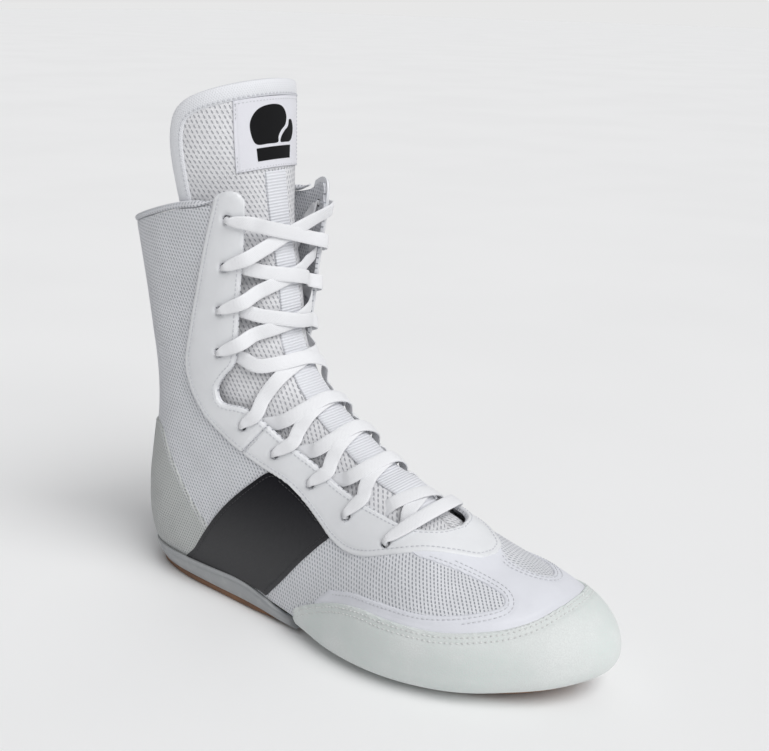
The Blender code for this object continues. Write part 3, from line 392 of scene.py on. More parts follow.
def off_eyelets(t, v):
    """How far a spot is outside the nearest eyelet's hole."""
    points = BOOT.at(t, v)[0]
    near = np.full(points.shape[:-1], np.inf)
    for centre in EYELET_POINTS:
        near = np.minimum(near, np.linalg.norm(points - centre, axis=-1))
    return near - EYELET_R


def eyestay_seam(t, v):
    """Positive towards the toe of the seam between the upper and the lower eyestay."""
    return (t - STAY_SEAM_T - (np.abs(v) - STAY_SEAM_V) * STAY_SEAM_SLOPE) * 14.0


def outsole_low(x):
    """Height of the outsole's underside."""
    return TOE_SPRING * np.clip((np.asarray(x, float) - TOE_SPRING_X) / 80, 0, None) ** 2


def outsole_high(x):
    """Height of the outsole's upper face."""
    fade = np.clip((np.asarray(x, float) - 100) / 45, 0, 1)
    return outsole_low(x) + OUTSOLE_HEEL_T + (OUTSOLE_FORE_T - OUTSOLE_HEEL_T) * fade


def cup_rim(x):
    """Height of the midsole cup's upper edge."""
    cup = np.array(CUP)
    return np.interp(x, cup[:, 3], cup[:, 6])


def place(points):
    """Table millimetres, x from the heel, to the frame's metres."""
    p = np.asarray(points, float).copy()
    p[..., 0] -= MIDDLE_X
    return p * MM


# ---------------------------------------------------------------- mesh pieces


class Body:
    """Vertices and faces of one piece as it is put together, with each vertex's place in
    millimetres on its cloth laid flat."""

    def __init__(self):
        self.points, self.flat, self.faces = [], [], []

    def add(self, points, flat, faces):
        start = sum(len(p) for p in self.points)
        self.points.append(np.asarray(points, float))
        self.flat.append(np.asarray(flat, float))
        self.faces += [[start + k for k in face] for face in faces]

    def build(self, name, look, node=None, body=BOOT_BODY, crease=42.0, weld=0.02):
        mesh = bpy.data.meshes.new(name)
        mesh.from_pydata(place(np.vstack(self.points)).tolist(), [], self.faces)
        mesh.materials.append(look)
        layer = mesh.attributes.new("cloth_mm", "FLOAT_VECTOR", "POINT")
        flat = np.vstack(self.flat)
        flat = np.hstack([flat, np.zeros((len(flat), 3 - flat.shape[1]))])
        layer.data.foreach_set("vector", flat.astype(np.float32).ravel())
        work = bmesh.new()
        work.from_mesh(mesh)
        bmesh.ops.remove_doubles(work, verts=work.verts, dist=weld * MM)
        bmesh.ops.dissolve_degenerate(work, edges=work.edges, dist=weld * MM / 2)
        bmesh.ops.recalc_face_normals(work, faces=work.faces)
        work.to_mesh(mesh)
        work.free()
        mesh.shade_smooth()
        mesh.set_sharp_from_angle(angle=math.radians(crease))
        piece = bpy.data.objects.new(name, mesh)
        bpy.context.scene.collection.objects.link(piece)
        if body:
            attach(piece, body)
        if node:
            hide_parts(*([node] if isinstance(node, str) else node))
        return piece


def clip(t, v, depth, joined):
    """Spots and faces of the part of a grid where depth is positive, cut along its zero line. A
    joined grid's last column is its first one again."""
    spots, depths, index = [], [], {}
    columns = t.shape[1] - 1

    def spot(key, tt, vv, d):
        if key not in index:
            index[key] = len(spots)
            spots.append((tt, vv))
            depths.append(d)
        return index[key]

    faces = []
    live = np.maximum.reduce([depth[:-1, :-1], depth[1:, :-1], depth[:-1, 1:], depth[1:, 1:]]) > 0
    for i, j in zip(*np.nonzero(live)):
        k = 0 if joined and j + 1 == columns else j + 1
        ring = [(i, j), (i + 1, j), (i + 1, k), (i, k)]
        face = []
        for p, q in zip(ring, ring[1:] + ring[:1]):
            if depth[p] > 0:
                face.append(spot(p, t[p], v[p], depth[p]))
            if (depth[p] > 0) != (depth[q] > 0):
                a, b = min(p, q), max(p, q)
                share = depth[a] / (depth[a] - depth[b])
                share = min(max(share, 0.02), 0.98)
                face.append(spot((a, b), t[a] + (t[b] - t[a]) * share, v[a] + (v[b] - v[a]) * share, 0.0))
        if len(face) > 2:
            faces.append(face)
    return np.array(spots), np.array(depths), faces, index


def rounded(depth, radius, low=0.45):
    """Share of the full height at a depth inside an edge that is rounded over."""
    share = np.clip(depth / radius, 0, 1)
    return low + (1 - low) * np.sqrt(1 - (1 - share) ** 2)


def groove(depth, places, deep=0.28, wide=0.8):
    """How far a row of stitches pulls the surface down at a depth inside its edge."""
    return sum(-deep * np.exp(-((depth - at) / wide) ** 2) for at in places)


def patch(name, rows, columns, keep, top, bottom, look, node, surface=BOOT, body=BOOT_BODY, crease=42.0,
          laid=None):
    """A closed piece over the part of a surface where keep(t, v) is positive: its outer face is
    lifted by top(depth, t, v) and its inner one by bottom."""
    t, v = np.meshgrid(rows, columns, indexing="ij")
    joined = columns[-1] - columns[0] > 1.999
    spots, depths, faces, index = clip(t, v, keep(t, v), joined)
    st, sv = spots[:, 0], spots[:, 1]
    flat = (laid or surface.flat)(st, sv)
    count = len(spots)
    outer = surface.at(st, sv, top(depths, st, sv))[0]
    inner = surface.at(st, sv, np.full(count, float(bottom)))[0]
    edges = {}
    for face in faces:
        for a, b in zip(face, face[1:] + face[:1]):
            edges[a, b] = edges.get((a, b), 0) + 1
    open_edges = [(a, b) for a, b in edges if (b, a) not in edges]
    made = Body()
    walls = [[b, a, a + count, b + count] for a, b in open_edges]
    made.add(np.vstack([outer, inner]), np.vstack([flat, flat]),
             faces + [[k + count for k in reversed(face)] for face in faces] + walls)
    if joined:
        last = [index[len(rows) - 1, j] for j in range(len(columns) - 1) if (len(rows) - 1, j) in index]
        if len(last) == len(columns) - 1:
            cap_tip(made, outer[last], flat[last])
            cap_tip(made, inner[last], flat[last])
    return made.build(name, look, node, body, crease)


def cap_tip(made, ring, flat):
    """Close a ring at the toe tip with a low dome that carries its slope on."""
    centre = ring.mean(axis=0)
    rise = np.linalg.norm(ring - centre, axis=1).mean() * TIP_SLOPE
    count = len(ring)
    points, places = [], []
    for share in (1.0, 0.8, 0.55, 0.3):
        points.append(centre + (ring - centre) * share + [rise * (1 - share**2), 0, 0])
        places.append(flat.mean(axis=0) + (flat - flat.mean(axis=0)) * share)
    points.append(centre[None] + [rise, 0, 0])
    places.append(flat.mean(axis=0)[None])
    faces = []
    for i in range(3):
        for k in range(count):
            m = (k + 1) % count
            faces.append([i * count + k, (i + 1) * count + k, (i + 1) * count + m, i * count + m])
    faces += [[3 * count + k, 4 * count, 3 * count + (k + 1) % count] for k in range(count)]
    made.add(np.vstack(points), np.vstack(places), faces)


def steps(low, high, size):
    """Evenly spaced values from low to high, about a size apart."""
    return np.linspace(low, high, int(round((high - low) / size)) + 1)


def both(columns):
    """Columns from the middle out, on both sides of it."""
    return np.r_[-columns[:0:-1], columns]


def eased(x, low, high):
    """0 below low, 1 above high and smooth between them."""
    share = np.clip((x - low) / (high - low), 0, 1)
    return share**2 * (3 - 2 * share)


def tapered(path, rings, least):
    """Share of the full size at each point of a path, less near both of its ends."""
    order = np.arange(len(path))
    return np.clip(np.minimum(order, order[::-1]) / rings, least, 1)


def tube_faces(rings, count):
    """Faces of a closed tube through rings of count points each."""
    faces = [list(range(count)), [(rings - 1) * count + k for k in range(count)][::-1]]
    for i in range(rings - 1):
        for k in range(count):
            m = (k + 1) % count
            faces.append([i * count + k, (i + 1) * count + k, (i + 1) * count + m, i * count + m])
    return faces


def ribbon_piece(name, path, up, width, thick, look, node, body=BOOT_BODY, sides=14, square=0.6):
    """A flat band with rounded edges along a path; up is its outward direction at each point."""
    path, up = np.asarray(path, float), np.asarray(up, float)
    ahead = np.gradient(path, axis=0)
    ahead /= np.linalg.norm(ahead, axis=1, keepdims=True)
    across = np.cross(ahead, up)
    across /= np.linalg.norm(across, axis=1, keepdims=True)
    over = np.cross(across, ahead)
    turn = (np.arange(sides) + 0.5) / sides * 2 * math.pi
    ring = np.abs(np.stack([np.cos(turn), np.sin(turn)])) ** square * np.sign([np.cos(turn), np.sin(turn)])
    ring /= np.abs(ring).max(axis=1, keepdims=True)
    along = arc_along(path)
    made = Body()
    points, flat = [], []
    for k in range(len(path)):
        wide, deep = ring[0] * width[k] / 2, ring[1] * thick[k] / 2
        points.append(path[k] + np.outer(wide, across[k]) + np.outer(deep, over[k]))
        flat.append(np.stack([np.full(sides, along[k]), wide, np.sign(ring[1])], -1))
    made.add(np.vstack(points), np.vstack(flat), tube_faces(len(path), sides))
    return made.build(name, look, node, body, crease=60)


def add_stitch(made, centre, ahead, normal, length, radius):
    """One thread of a stitch, arched over the cloth."""
    across = np.cross(normal, ahead)
    across /= max(np.linalg.norm(across), 1e-9)
    points, sides = [], 6
    arch = ((-0.5, 0.35, -0.5), (-0.32, 0.9, 0.15), (0, 1.0, 0.4), (0.32, 0.9, 0.15), (0.5, 0.35, -0.5))
    for share, size, rise in arch:
        middle = centre + ahead * length * share + normal * radius * rise
        for k in range(sides):
            turn = k / sides * 2 * math.pi
            points.append(middle + (across * math.cos(turn) + normal * math.sin(turn)) * radius * size)
    made.add(points, [[centre[0], centre[2]]] * len(points), tube_faces(len(arch), sides))


def inset_spots(seam, surface, depth_of, inset):
    """A chain of spots moved a distance in from an outline's seam, in millimetres."""
    p, n = surface.at(seam[:, 0], seam[:, 1])
    ahead = np.gradient(p, axis=0)
    ahead /= np.maximum(np.linalg.norm(ahead, axis=1, keepdims=True), 1e-9)
    sideways = np.cross(n, ahead)
    small_t, small_v = 0.02, 0.002
    jt = (surface.at(seam[:, 0] + small_t, seam[:, 1])[0] - p) / small_t
    jv = (surface.at(seam[:, 0], seam[:, 1] + small_v)[0] - p) / small_v
    best = None
    for sign in (1, -1):
        moved = []
        for k in range(len(seam)):
            system = np.stack([jt[k], jv[k]], -1)
            moved.append(seam[k] + np.linalg.lstsq(system, sideways[k] * inset * sign, rcond=None)[0])
        moved = np.array(moved)
        score = np.median(depth_of(moved[:, 0], moved[:, 1]))
        if best is None or score > best[0]:
            best = (score, moved)
    return best[1]


def stitches(made, seam, surface, depth_of, inset, lift, pitch=STITCH_PITCH, length=STITCH_LENGTH,
             radius=STITCH_R, clear=0.75):
    """A row of stitches inside a seam, left out where another edge of the piece comes too near."""
    spots = inset_spots(seam, surface, depth_of, inset)
    p = surface.at(spots[:, 0], spots[:, 1])[0]
    arc = arc_along(p)
    count = int(arc[-1] / pitch)
    at = (np.arange(count) + 0.5) * pitch
    t, v = np.interp(at, arc, spots[:, 0]), np.interp(at, arc, spots[:, 1])
    good = depth_of(t, v) > inset * clear
    centre, normal = surface.at(t, v, lift)
    beyond = [np.interp(at + 0.3, arc, spots[:, k]) for k in (0, 1)]
    ahead = surface.at(*beyond, lift)[0] - centre
    for k in np.nonzero(good)[0]:
        add_stitch(made, centre[k], ahead[k] / max(np.linalg.norm(ahead[k]), 1e-9), normal[k], length, radius)


# ---------------------------------------------------------------- materials


class Look:
    """One material's node tree, with short names for the nodes that it is made of."""

    def __init__(self, name, colour, roughness, **constants):
        self.material = bpy.data.materials.new(name)
        self.material.use_nodes = True
        self.tree = self.material.node_tree
        self.shader = self.tree.nodes["Principled BSDF"]
        self.shader.inputs["Base Color"].default_value = (*colour, 1)
        self.shader.inputs["Roughness"].default_value = roughness
        for socket, value in constants.items():
            self.shader.inputs[socket.replace("_", " ")].default_value = value

    def node(self, kind, **settings):
        made = self.tree.nodes.new(kind)
        for key, value in settings.items():
            setattr(made, key, value)
        return made

    def feed(self, socket, value):
        if isinstance(value, bpy.types.NodeSocket):
            self.tree.links.new(value, socket)
        else:
            socket.default_value = value

    def math(self, operation, *values, clamp=False):
        made = self.node("ShaderNodeMath", operation=operation, use_clamp=clamp)
        for socket, value in zip(made.inputs, values):
            self.feed(socket, value)
        return made.outputs[0]

    def cloth(self):
        """The two distances along the cloth laid flat, in millimetres, and the third value."""
        source = self.node("ShaderNodeAttribute", attribute_name="cloth_mm")
        parts = self.node("ShaderNodeSeparateXYZ")
        self.tree.links.new(source.outputs["Vector"], parts.inputs[0])
        return parts.outputs

    def wave(self, value, period):
        """A sine along a distance in millimetres."""
        return self.math("SINE", self.math("MULTIPLY", value, 2 * math.pi / period))

    def leaning(self, u, w, lean):
        """Distance across a set of lines that lean over by a share of w."""
        return self.math("ADD", u, self.math("MULTIPLY", w, lean))

    def noise(self, scale, detail=3.0, stretch=(1, 1, 1), roughness=0.55):
        """Noise over the piece's own coordinates; scale is features per metre."""
        place_in = self.node("ShaderNodeTexCoord")
        mapping = self.node("ShaderNodeMapping")
        mapping.inputs["Scale"].default_value = stretch
        self.tree.links.new(place_in.outputs["Object"], mapping.inputs["Vector"])
        made = self.node("ShaderNodeTexNoise")
        made.inputs["Scale"].default_value = scale
        made.inputs["Detail"].default_value = detail
        made.inputs["Roughness"].default_value = roughness
        self.tree.links.new(mapping.outputs[0], made.inputs["Vector"])
        return made.outputs["Fac"]

    def ramp(self, value, low, high):
        """Value taken smoothly from 0 at low to 1 at high."""
        made = self.node("ShaderNodeMapRange", interpolation_type="SMOOTHSTEP")
        self.feed(made.inputs["Value"], value)
        made.inputs["From Min"].default_value = low
        made.inputs["From Max"].default_value = high
        return made.outputs["Result"]

    def blend(self, share, first, second):
        made = self.node("ShaderNodeMix", data_type="RGBA")
        self.feed(made.inputs["Factor"], share)
        self.feed(made.inputs[6], first if isinstance(first, bpy.types.NodeSocket) else (*first, 1))
        self.feed(made.inputs[7], second if isinstance(second, bpy.types.NodeSocket) else (*second, 1))
        return made.outputs[2]

    def paint(self, colour):
        self.tree.links.new(colour, self.shader.inputs["Base Color"])

    def rough(self, value):
        self.tree.links.new(value, self.shader.inputs["Roughness"])

    def relief(self, *layers):
        """Bump from (height, distance in millimetres) layers, one on top of the other."""
        normal = None
        for height, deep in layers:
            made = self.node("ShaderNodeBump")
            made.inputs["Strength"].default_value = 1.0
            made.inputs["Distance"].default_value = deep * MM
            self.tree.links.new(height, made.inputs["Height"])
            if normal is not None:
                self.tree.links.new(normal, made.inputs["Normal"])
            normal = made.outputs[0]
        self.tree.links.new(normal, self.shader.inputs["Normal"])


def darker(colour, share):
    """A share of a colour."""
    return tuple(c * share for c in colour)


def spacer_mesh(name, thread, hole, pitch=(1.75, 1.6), slant=0.5, size=(0.36, 0.62)):
    """Knitted mesh: staggered slanted oval holes between plump threads, the holes painted in a darker colour
    as painted shade inside them.
    """
    look = Look(name, thread, 0.85, Sheen_Weight=0.15)
    u, w, _ = look.cloth()
    row = look.math("DIVIDE", w, pitch[1])
    odd_row = look.math("MODULO", look.math("FLOOR", row), 2.0)
    shift = look.math("ABSOLUTE", look.math("MULTIPLY", odd_row, 0.5))
    cw = look.math("SUBTRACT", look.math("FRACT", row), 0.5)
    column = look.math("ADD", look.math("DIVIDE", u, pitch[0]), shift)
    cu = look.math("SUBTRACT", look.math("FRACT", column), 0.5)
    lean = look.math("ADD", look.math("MULTIPLY", cu, pitch[0]), look.math("MULTIPLY", cw, slant * pitch[1]))
    a = look.math("POWER", look.math("DIVIDE", lean, size[0]), 2.0)
    b = look.math("POWER", look.math("DIVIDE", look.math("MULTIPLY", cw, pitch[1]), size[1]), 2.0)
    away = look.math("SQRT", look.math("ADD", a, b))
    cloth = look.ramp(away, 0.55, 1.25)
    wear = look.ramp(look.noise(60, 4), 0.35, 0.7)
    shaded = look.blend(wear, thread, darker(thread, 0.93))
    # The hole colour is painted shade: the darker inside of each hole
    look.paint(look.blend(cloth, hole, shaded))
    yarn = look.wave(look.math("ADD", u, w), 0.4)
    look.relief((look.noise(90, 2), 0.6), (cloth, 0.45), (yarn, 0.03))
    return look.material


def synthetic(name, colour, roughness=0.42):
    """Smooth coated leather with a fine grain."""
    look = Look(name, colour, roughness, Specular_IOR_Level=0.45)
    tone = look.ramp(look.noise(45, 5), 0.3, 0.75)
    look.paint(look.blend(tone, colour, darker(colour, 0.94)))
    grain = look.noise(2600, 2)
    look.rough(look.math("ADD", look.math("MULTIPLY", grain, 0.18), roughness - 0.09))
    look.relief((look.noise(70, 3), 0.35), (grain, 0.05))
    return look.material


def suede(name, colour):
    """Napped leather: soft mottling, a fine nap and darker brushed patches."""
    look = Look(name, colour, 0.95, Sheen_Weight=0.35, Sheen_Roughness=0.5, Specular_IOR_Level=0.15)
    brushed = look.ramp(look.noise(28, 5, roughness=0.65), 0.35, 0.68)
    nap = look.noise(1500, 3)
    mottled = look.blend(brushed, colour, tuple(c * k for c, k in zip(colour, (0.83, 0.905, 0.88))))
    look.paint(look.blend(look.ramp(nap, 0.3, 0.75), darker(colour, 0.9), mottled))
    look.relief((look.noise(40, 3), 0.5), (nap, 0.14))
    return look.material


def ribbed_black(name):
    """Black coated textile with fine ribs, greyer where it runs down to the sole."""
    look = Look(name, (0.012, 0.012, 0.014), 0.6, Specular_IOR_Level=0.12)
    u, w, _ = look.cloth()
    lower = look.ramp(w, 82.0, 22.0)
    look.paint(look.blend(lower, (0.008, 0.008, 0.011), (0.07, 0.07, 0.073)))
    rib = look.wave(look.leaning(u, w, 0.35), 0.9)
    look.rough(look.math("ADD", look.math("MULTIPLY", look.noise(900, 2), 0.25), 0.5))
    look.relief((rib, 0.06), (look.noise(1800, 2), 0.04))
    return look.material


def foxing_rubber(name):
    """Grey rubber with pale scuffs."""
    look = Look(name, (0.36, 0.37, 0.38), 0.5)
    scuff = look.ramp(look.noise(160, 6), 0.45, 0.8)
    look.paint(look.blend(scuff, (0.36, 0.37, 0.38), (0.42, 0.43, 0.43)))
    grain = look.noise(3000, 2)
    look.rough(look.math("ADD", look.math("MULTIPLY", grain, 0.2), 0.42))
    look.relief((grain, 0.04))
    return look.material


def gum_rubber(name):
    """Brown gum rubber with pale specks."""
    look = Look(name, (0.2, 0.085, 0.03), 0.45)
    tone = look.ramp(look.noise(50, 5), 0.3, 0.75)
    speck = look.ramp(look.noise(900, 4), 0.6, 0.75)
    base = look.blend(tone, (0.22, 0.1, 0.04), (0.14, 0.06, 0.025))
    look.paint(look.blend(speck, base, (0.26, 0.14, 0.07)))
    look.rough(look.math("ADD", look.math("MULTIPLY", look.noise(700, 3), 0.25), 0.36))
    look.relief((look.noise(1200, 3), 0.05))
    return look.material


def woven(name, colour, rib=1.1, angle=0.55, deep=0.1, shade=0.8):
    """Flat braid, such as a lace: two sets of fine diagonal plaits."""
    look = Look(name, colour, 0.7, Sheen_Weight=0.2)
    u, w, _ = look.cloth()
    plait = look.math("MAXIMUM", *[look.wave(look.leaning(u, w, lean), rib) for lean in (angle, -angle)])
    look.paint(look.blend(look.ramp(plait, -0.4, 0.7), darker(colour, shade), colour))
    look.relief((plait, deep), (look.noise(1400, 2), 0.05))
    return look.material


def grosgrain(name, colour):
    """Ribbon with cross ribs and fine lines along it."""
    look = Look(name, colour, 0.65, Sheen_Weight=0.2)
    u, w, _ = look.cloth()
    rib = look.wave(w, 1.6)
    look.paint(look.blend(look.ramp(rib, -0.9, 0.3), darker(colour, 0.87), colour))
    look.relief((rib, 0.12), (look.wave(u, 0.5), 0.02))
    return look.material


def knit(name, colour):
    """Soft lining jersey."""
    look = Look(name, colour, 0.9, Sheen_Weight=0.2)
    u, w, _ = look.cloth()
    loop = look.math("MULTIPLY", look.wave(w, 1.0), look.wave(u, 1.3))
    look.paint(look.blend(look.ramp(loop, -0.8, 0.6), darker(colour, 0.8), colour))
    look.relief((loop, 0.12), (look.noise(1200, 2), 0.05))
    return look.material


def plain(name, colour, roughness, scale=800, deep=0.05, **constants):
    """A moulded or pressed part: slight mottling and a fine surface."""
    look = Look(name, colour, roughness, **constants)
    tone = look.ramp(look.noise(scale / 8, 4), 0.3, 0.75)
    look.paint(look.blend(tone, colour, darker(colour, 0.9)))
    look.relief((look.noise(scale, 3), deep))
    return look.material


def make_looks():
    """Every material, by the name that the pieces call it."""
    return {
        # The second colour of each spacer mesh is painted shade inside its holes
        "mesh": spacer_mesh("white_spacer_mesh", (0.80, 0.81, 0.845), (0.37, 0.39, 0.43),
                            pitch=(2.1, 1.9), size=(0.38, 0.7)),
        # The heel mesh is painted darker than the white mesh: partly its own greenish grey, partly painted
        # shade at the back of the boot
        "heel_mesh_painted_shade": spacer_mesh("heel_spacer_mesh_painted_shade", (0.60, 0.615, 0.605), (0.30, 0.315, 0.32),
                                 pitch=(1.9, 1.7)),
        "tongue_mesh": spacer_mesh("tongue_spacer_mesh", (0.84, 0.84, 0.86), (0.50, 0.51, 0.54),
                                   pitch=(2.6, 2.5), size=(0.46, 0.9)),
        "synthetic": synthetic("white_synthetic", (0.81, 0.82, 0.84)),
        "toe_synthetic": synthetic("toe_synthetic", (0.77, 0.78, 0.83), 0.5),
        "suede": suede("off_white_suede", (0.76, 0.785, 0.775)),
        "black": ribbed_black("black_band"),
        "black_thread": plain("black_thread", (0.03, 0.03, 0.033), 0.5),
        "suede_thread": plain("suede_thread", (0.70, 0.71, 0.70), 0.7, 1500),
        "thread": plain("white_thread", (0.64, 0.65, 0.68), 0.6, 1500),
        "foxing": foxing_rubber("grey_foxing"),
        "gum": gum_rubber("gum_rubber"),
        "board": plain("fibre_board", (0.55, 0.47, 0.36), 0.9, 600, 0.1),
        "sockliner": plain("sockliner_textile", (0.62, 0.63, 0.66), 0.9, 1500, 0.15, Sheen_Weight=0.2),
        "lining": knit("lining_jersey", (0.66, 0.67, 0.70)),
        "lace": woven("lace_braid", (0.86, 0.865, 0.885), 0.8, 0.55, 0.05, 0.93),
        "ribbon": grosgrain("grosgrain", (0.80, 0.81, 0.85)),
        "label": woven("label_satin", (0.80, 0.80, 0.85), 0.5, 1.0, 0.03, 0.93),
        "ink": plain("emblem_black", (0.006, 0.006, 0.007), 0.6, 2000, 0.03, Specular_IOR_Level=0.15),
        "tape": woven("binding_tape", (0.80, 0.81, 0.84), 1.3, 0.6, 0.06, 0.93),
        # Painted shadow: dark rings under the eyelets that stand for the shade inside the holes
        "shadow": plain("eyelet_painted_shadow", (0.05, 0.052, 0.058), 0.8),
        "aglet": plain("aglet_film", (0.78, 0.79, 0.80), 0.18, 900, 0.02, Coat_Weight=0.5),
    }


# ---------------------------------------------------------------- camera, light and floor


def add_camera():
    """The camera ahead of the boot on its outer side, rolled so that CAMERA_UP is upright."""
    data = bpy.data.cameras.new("camera")
    data.lens = CAMERA_LENS
    camera = bpy.data.objects.new("camera", data)
    bpy.context.scene.collection.objects.link(camera)
    back = (Vector(CAMERA_AT) - Vector(CAMERA_AIM)).normalized()
    right = Vector(CAMERA_UP).cross(back).normalized()
    up = back.cross(right)
    turn = Matrix((right, up, back)).transposed().to_4x4()
    camera.matrix_world = Matrix.Translation(CAMERA_AT) @ turn
    bpy.context.scene.camera = camera


def add_lamp(name, source, strength, softness):
    """A large soft light, far away in a direction; softness is the angle that it fills."""
    data = bpy.data.lights.new(name, "SUN")
    data.energy = strength
    data.angle = math.radians(softness)
    lamp = bpy.data.objects.new(name, data)
    bpy.context.scene.collection.objects.link(lamp)
    lamp.location = source
    lamp.rotation_euler = Vector(source).to_track_quat("Z", "Y").to_euler()


def add_studio():
    """A white floor, a white background and soft light from above the toe."""
    scene = bpy.context.scene
    scene.view_settings.view_transform = "Standard"
    world = bpy.data.worlds.new("studio")
    scene.world = world
    world.use_nodes = True
    nodes, links = world.node_tree.nodes, world.node_tree.links
    lit = nodes["Background"]
    lit.inputs["Color"].default_value = (0.97, 0.98, 1.0, 1)
    lit.inputs["Strength"].default_value = WORLD_LIGHT
    seen = nodes.new("ShaderNodeBackground")
    seen.inputs["Color"].default_value = (BACKGROUND, BACKGROUND, BACKGROUND, 1)
    seen.inputs["Strength"].default_value = 1.0
    path = nodes.new("ShaderNodeLightPath")
    mix = nodes.new("ShaderNodeMixShader")
    links.new(path.outputs["Is Camera Ray"], mix.inputs["Fac"])
    links.new(lit.outputs[0], mix.inputs[1])
    links.new(seen.outputs[0], mix.inputs[2])
    links.new(mix.outputs[0], nodes["World Output"].inputs["Surface"])
    add_lamp("key", KEY_FROM, KEY_STRENGTH, KEY_SOFTNESS)
    add_lamp("fill", FILL_FROM, FILL_STRENGTH, FILL_SOFTNESS)

    bpy.ops.mesh.primitive_plane_add(size=30, location=(0, 0, -0.0005))
    floor = bpy.context.object
    floor.name = "floor"
    look = Look("floor_paper", (0.93, 0.93, 0.93), 0.9, Specular_IOR_Level=0.1)
    look.paint(look.blend(look.ramp(look.noise(3, 2), 0.3, 0.7), (0.93, 0.93, 0.93), (0.95, 0.95, 0.95)))
    floor.data.materials.append(look.material)


# ---------------------------------------------------------------- cords


def hermite(points, at):
    """A smooth curve through unevenly spaced points; at counts in points."""
    points = np.asarray(points, float)
    steps = np.linalg.norm(np.diff(points[:, :3], axis=0), axis=1) ** 0.5
    knots = np.r_[0, np.cumsum(steps)]
    slope = np.gradient(points, knots, axis=0)
    i = np.clip(np.floor(at).astype(int), 0, len(points) - 2)
    f = (at - i)[:, None]
    h = steps[i][:, None]
    return ((1 + 2 * f) * (1 - f) ** 2 * points[i] + f * (1 - f) ** 2 * h * slope[i]
            + f**2 * (3 - 2 * f) * points[i + 1] + f**2 * (f - 1) * h * slope[i + 1])


def sampled(stops, spacing):
    """Path, outward direction, width and thickness along a row of lace stops, smoothly joined."""
    table = np.array([[*point, *up, width, thick] for point, up, width, thick in stops])
    gaps = np.linalg.norm(np.diff(table[:, :3], axis=0), axis=1)
    at = [k + j / n for k, n in enumerate(np.ceil(gaps / spacing).astype(int)) for j in range(n)]
    line = hermite(table, np.array(at + [len(stops) - 1.0]))
    return line[:, :3], line[:, 3:6], line[:, 6], line[:, 7]


def unit(vector):
    return vector / np.linalg.norm(vector)


def off_tongue(point, t, v):
    """The point over boot section t and share v, moved out until it is clear of the tongue below
    it, and the direction it moved in."""
    row = np.interp(t, [0, 1, 2, 3, 4, 14], [1.69, 2.73, 3.79, 4.81, 6, 16])
    under, out = TONGUE.at(row, v * np.interp(row, [5, 6], [1.33, 1.04]), LACE_CLEAR)
    return point + out * max(0, (under - point) @ out), out


def beside(spot, other, distance, lift):
    """A point at a distance from one eyelet towards another, lifted off the boot."""
    spot, other = np.array(spot), np.array(other)
    speed = np.linalg.norm(BOOT.at(*(spot + (other - spot) * 0.02))[0] - BOOT.at(*spot)[0]) / 0.02
    return BOOT.at(*(spot + (other - spot) * distance / speed), lift)[0]


def hole_stops(before, spot, after, face, outward):
    """Lace stops through an eyelet at (t, v) spot, coming from one spot and going on to another."""
    way = 1 if outward else -1
    centre, n = BOOT.at(*spot)
    come = centre - beside(spot, before, 2.0, 0.0)
    stops = []
    for distance, lift, width, thick in ((4.5, 3.1, 5.6, 1.5), (1.5, 3.2, 3.4, 1.9)):
        stops.append((beside(spot, before, distance, -way * lift), face * n, width, thick))
    over = -way * face * unit(come - n * (come @ n))
    for lift in (-2.0, 0, 2.0):
        stops.append((BOOT.at(*spot, way * lift)[0], over, LACE_HOLE_W, LACE_HOLE_T))
    for distance, lift, width, thick in ((1.5, 3.2, 3.4, 1.9), (4.5, 3.1, 5.6, 1.5)):
        stops.append((beside(spot, after, distance, way * lift), -face * n, width, thick))
    return stops


def past_flap(start, end):
    """Share of the way along a strand at which it is just past the flap it starts from."""
    share = np.linspace(0, 0.45, 91)
    t = start[0] + (end[0] - start[0]) * share
    v = np.abs(start[1] + (end[1] - start[1]) * share)
    edge = np.interp(t, [row[0] for row in OPENING_EDGE], [row[1] for row in OPENING_EDGE])
    return share[np.argmin(np.abs(v - edge + 0.018))]


def strand(start, end, on_top, first_lift, last_lift, face):
    """Stops of one strand between two eyelets, without the stops at the eyelets themselves."""
    start, end = np.array(start), np.array(end)
    a, b = past_flap(start, end), 1 - past_flap(end, start)
    first, n_first = BOOT.at(*(start + (end - start) * a), first_lift)
    last, n_last = BOOT.at(*(start + (end - start) * b), last_lift)
    stops = [(first, face * n_first, LACE_W, LACE_T)]
    for share in (0.2, 0.35, 0.5, 0.65, 0.8):
        straight = first * (1 - share) + last * share
        t, v = start + (end - start) * (a + (b - a) * share)
        point, out = off_tongue(straight, t, v)
        hump = LACE_HUMP * math.exp(-((share - 0.5) / 0.2) ** 2)
        n = unit(n_first * (1 - share) + n_last * share + out)
        stops.append((point + out * (hump if on_top else -hump), face * n, LACE_W, LACE_T))
    stops.append((last, face * n_last, LACE_W, LACE_T))
    return stops


def lace_half(side_sign):
    """Stops from the middle of the bottom bar up to inside the top eyelet; side_sign is the side
    (-1 outer, 1 inner) whose bottom eyelet this half goes into."""
    pairs = len(EYELETS)
    holes = [(EYELETS[-1 - k][0], EYELETS[-1 - k][1] * side_sign * (-1) ** k) for k in range(pairs)]
    out, under = 2.9, -2.9
    t, v = holes[0]
    stops = []
    for share in (0.0, 0.35, 0.62):
        point, n = BOOT.at(t, v * share, out)
        stops.append((point, n, LACE_W, LACE_T))
    face = 1
    stops += hole_stops((t, 0), holes[0], holes[1], face, outward=False)
    for k in range(1, pairs):
        face = -face
        last = k == pairs - 1
        start, end = holes[k - 1], holes[k]
        stops += strand(start, end, start[1] > 0, under if k == 1 else out, out if last else under, face)
        after = (1.6, math.copysign(0.4, end[1])) if last else holes[k + 1]
        stops += hole_stops(start, end, after, face, outward=not last)
    point, n = BOOT.at(1.22, math.copysign(0.327, holes[-1][1]), -4.2)
    stops.append((point, -face * n, LACE_W, LACE_T))
    return stops


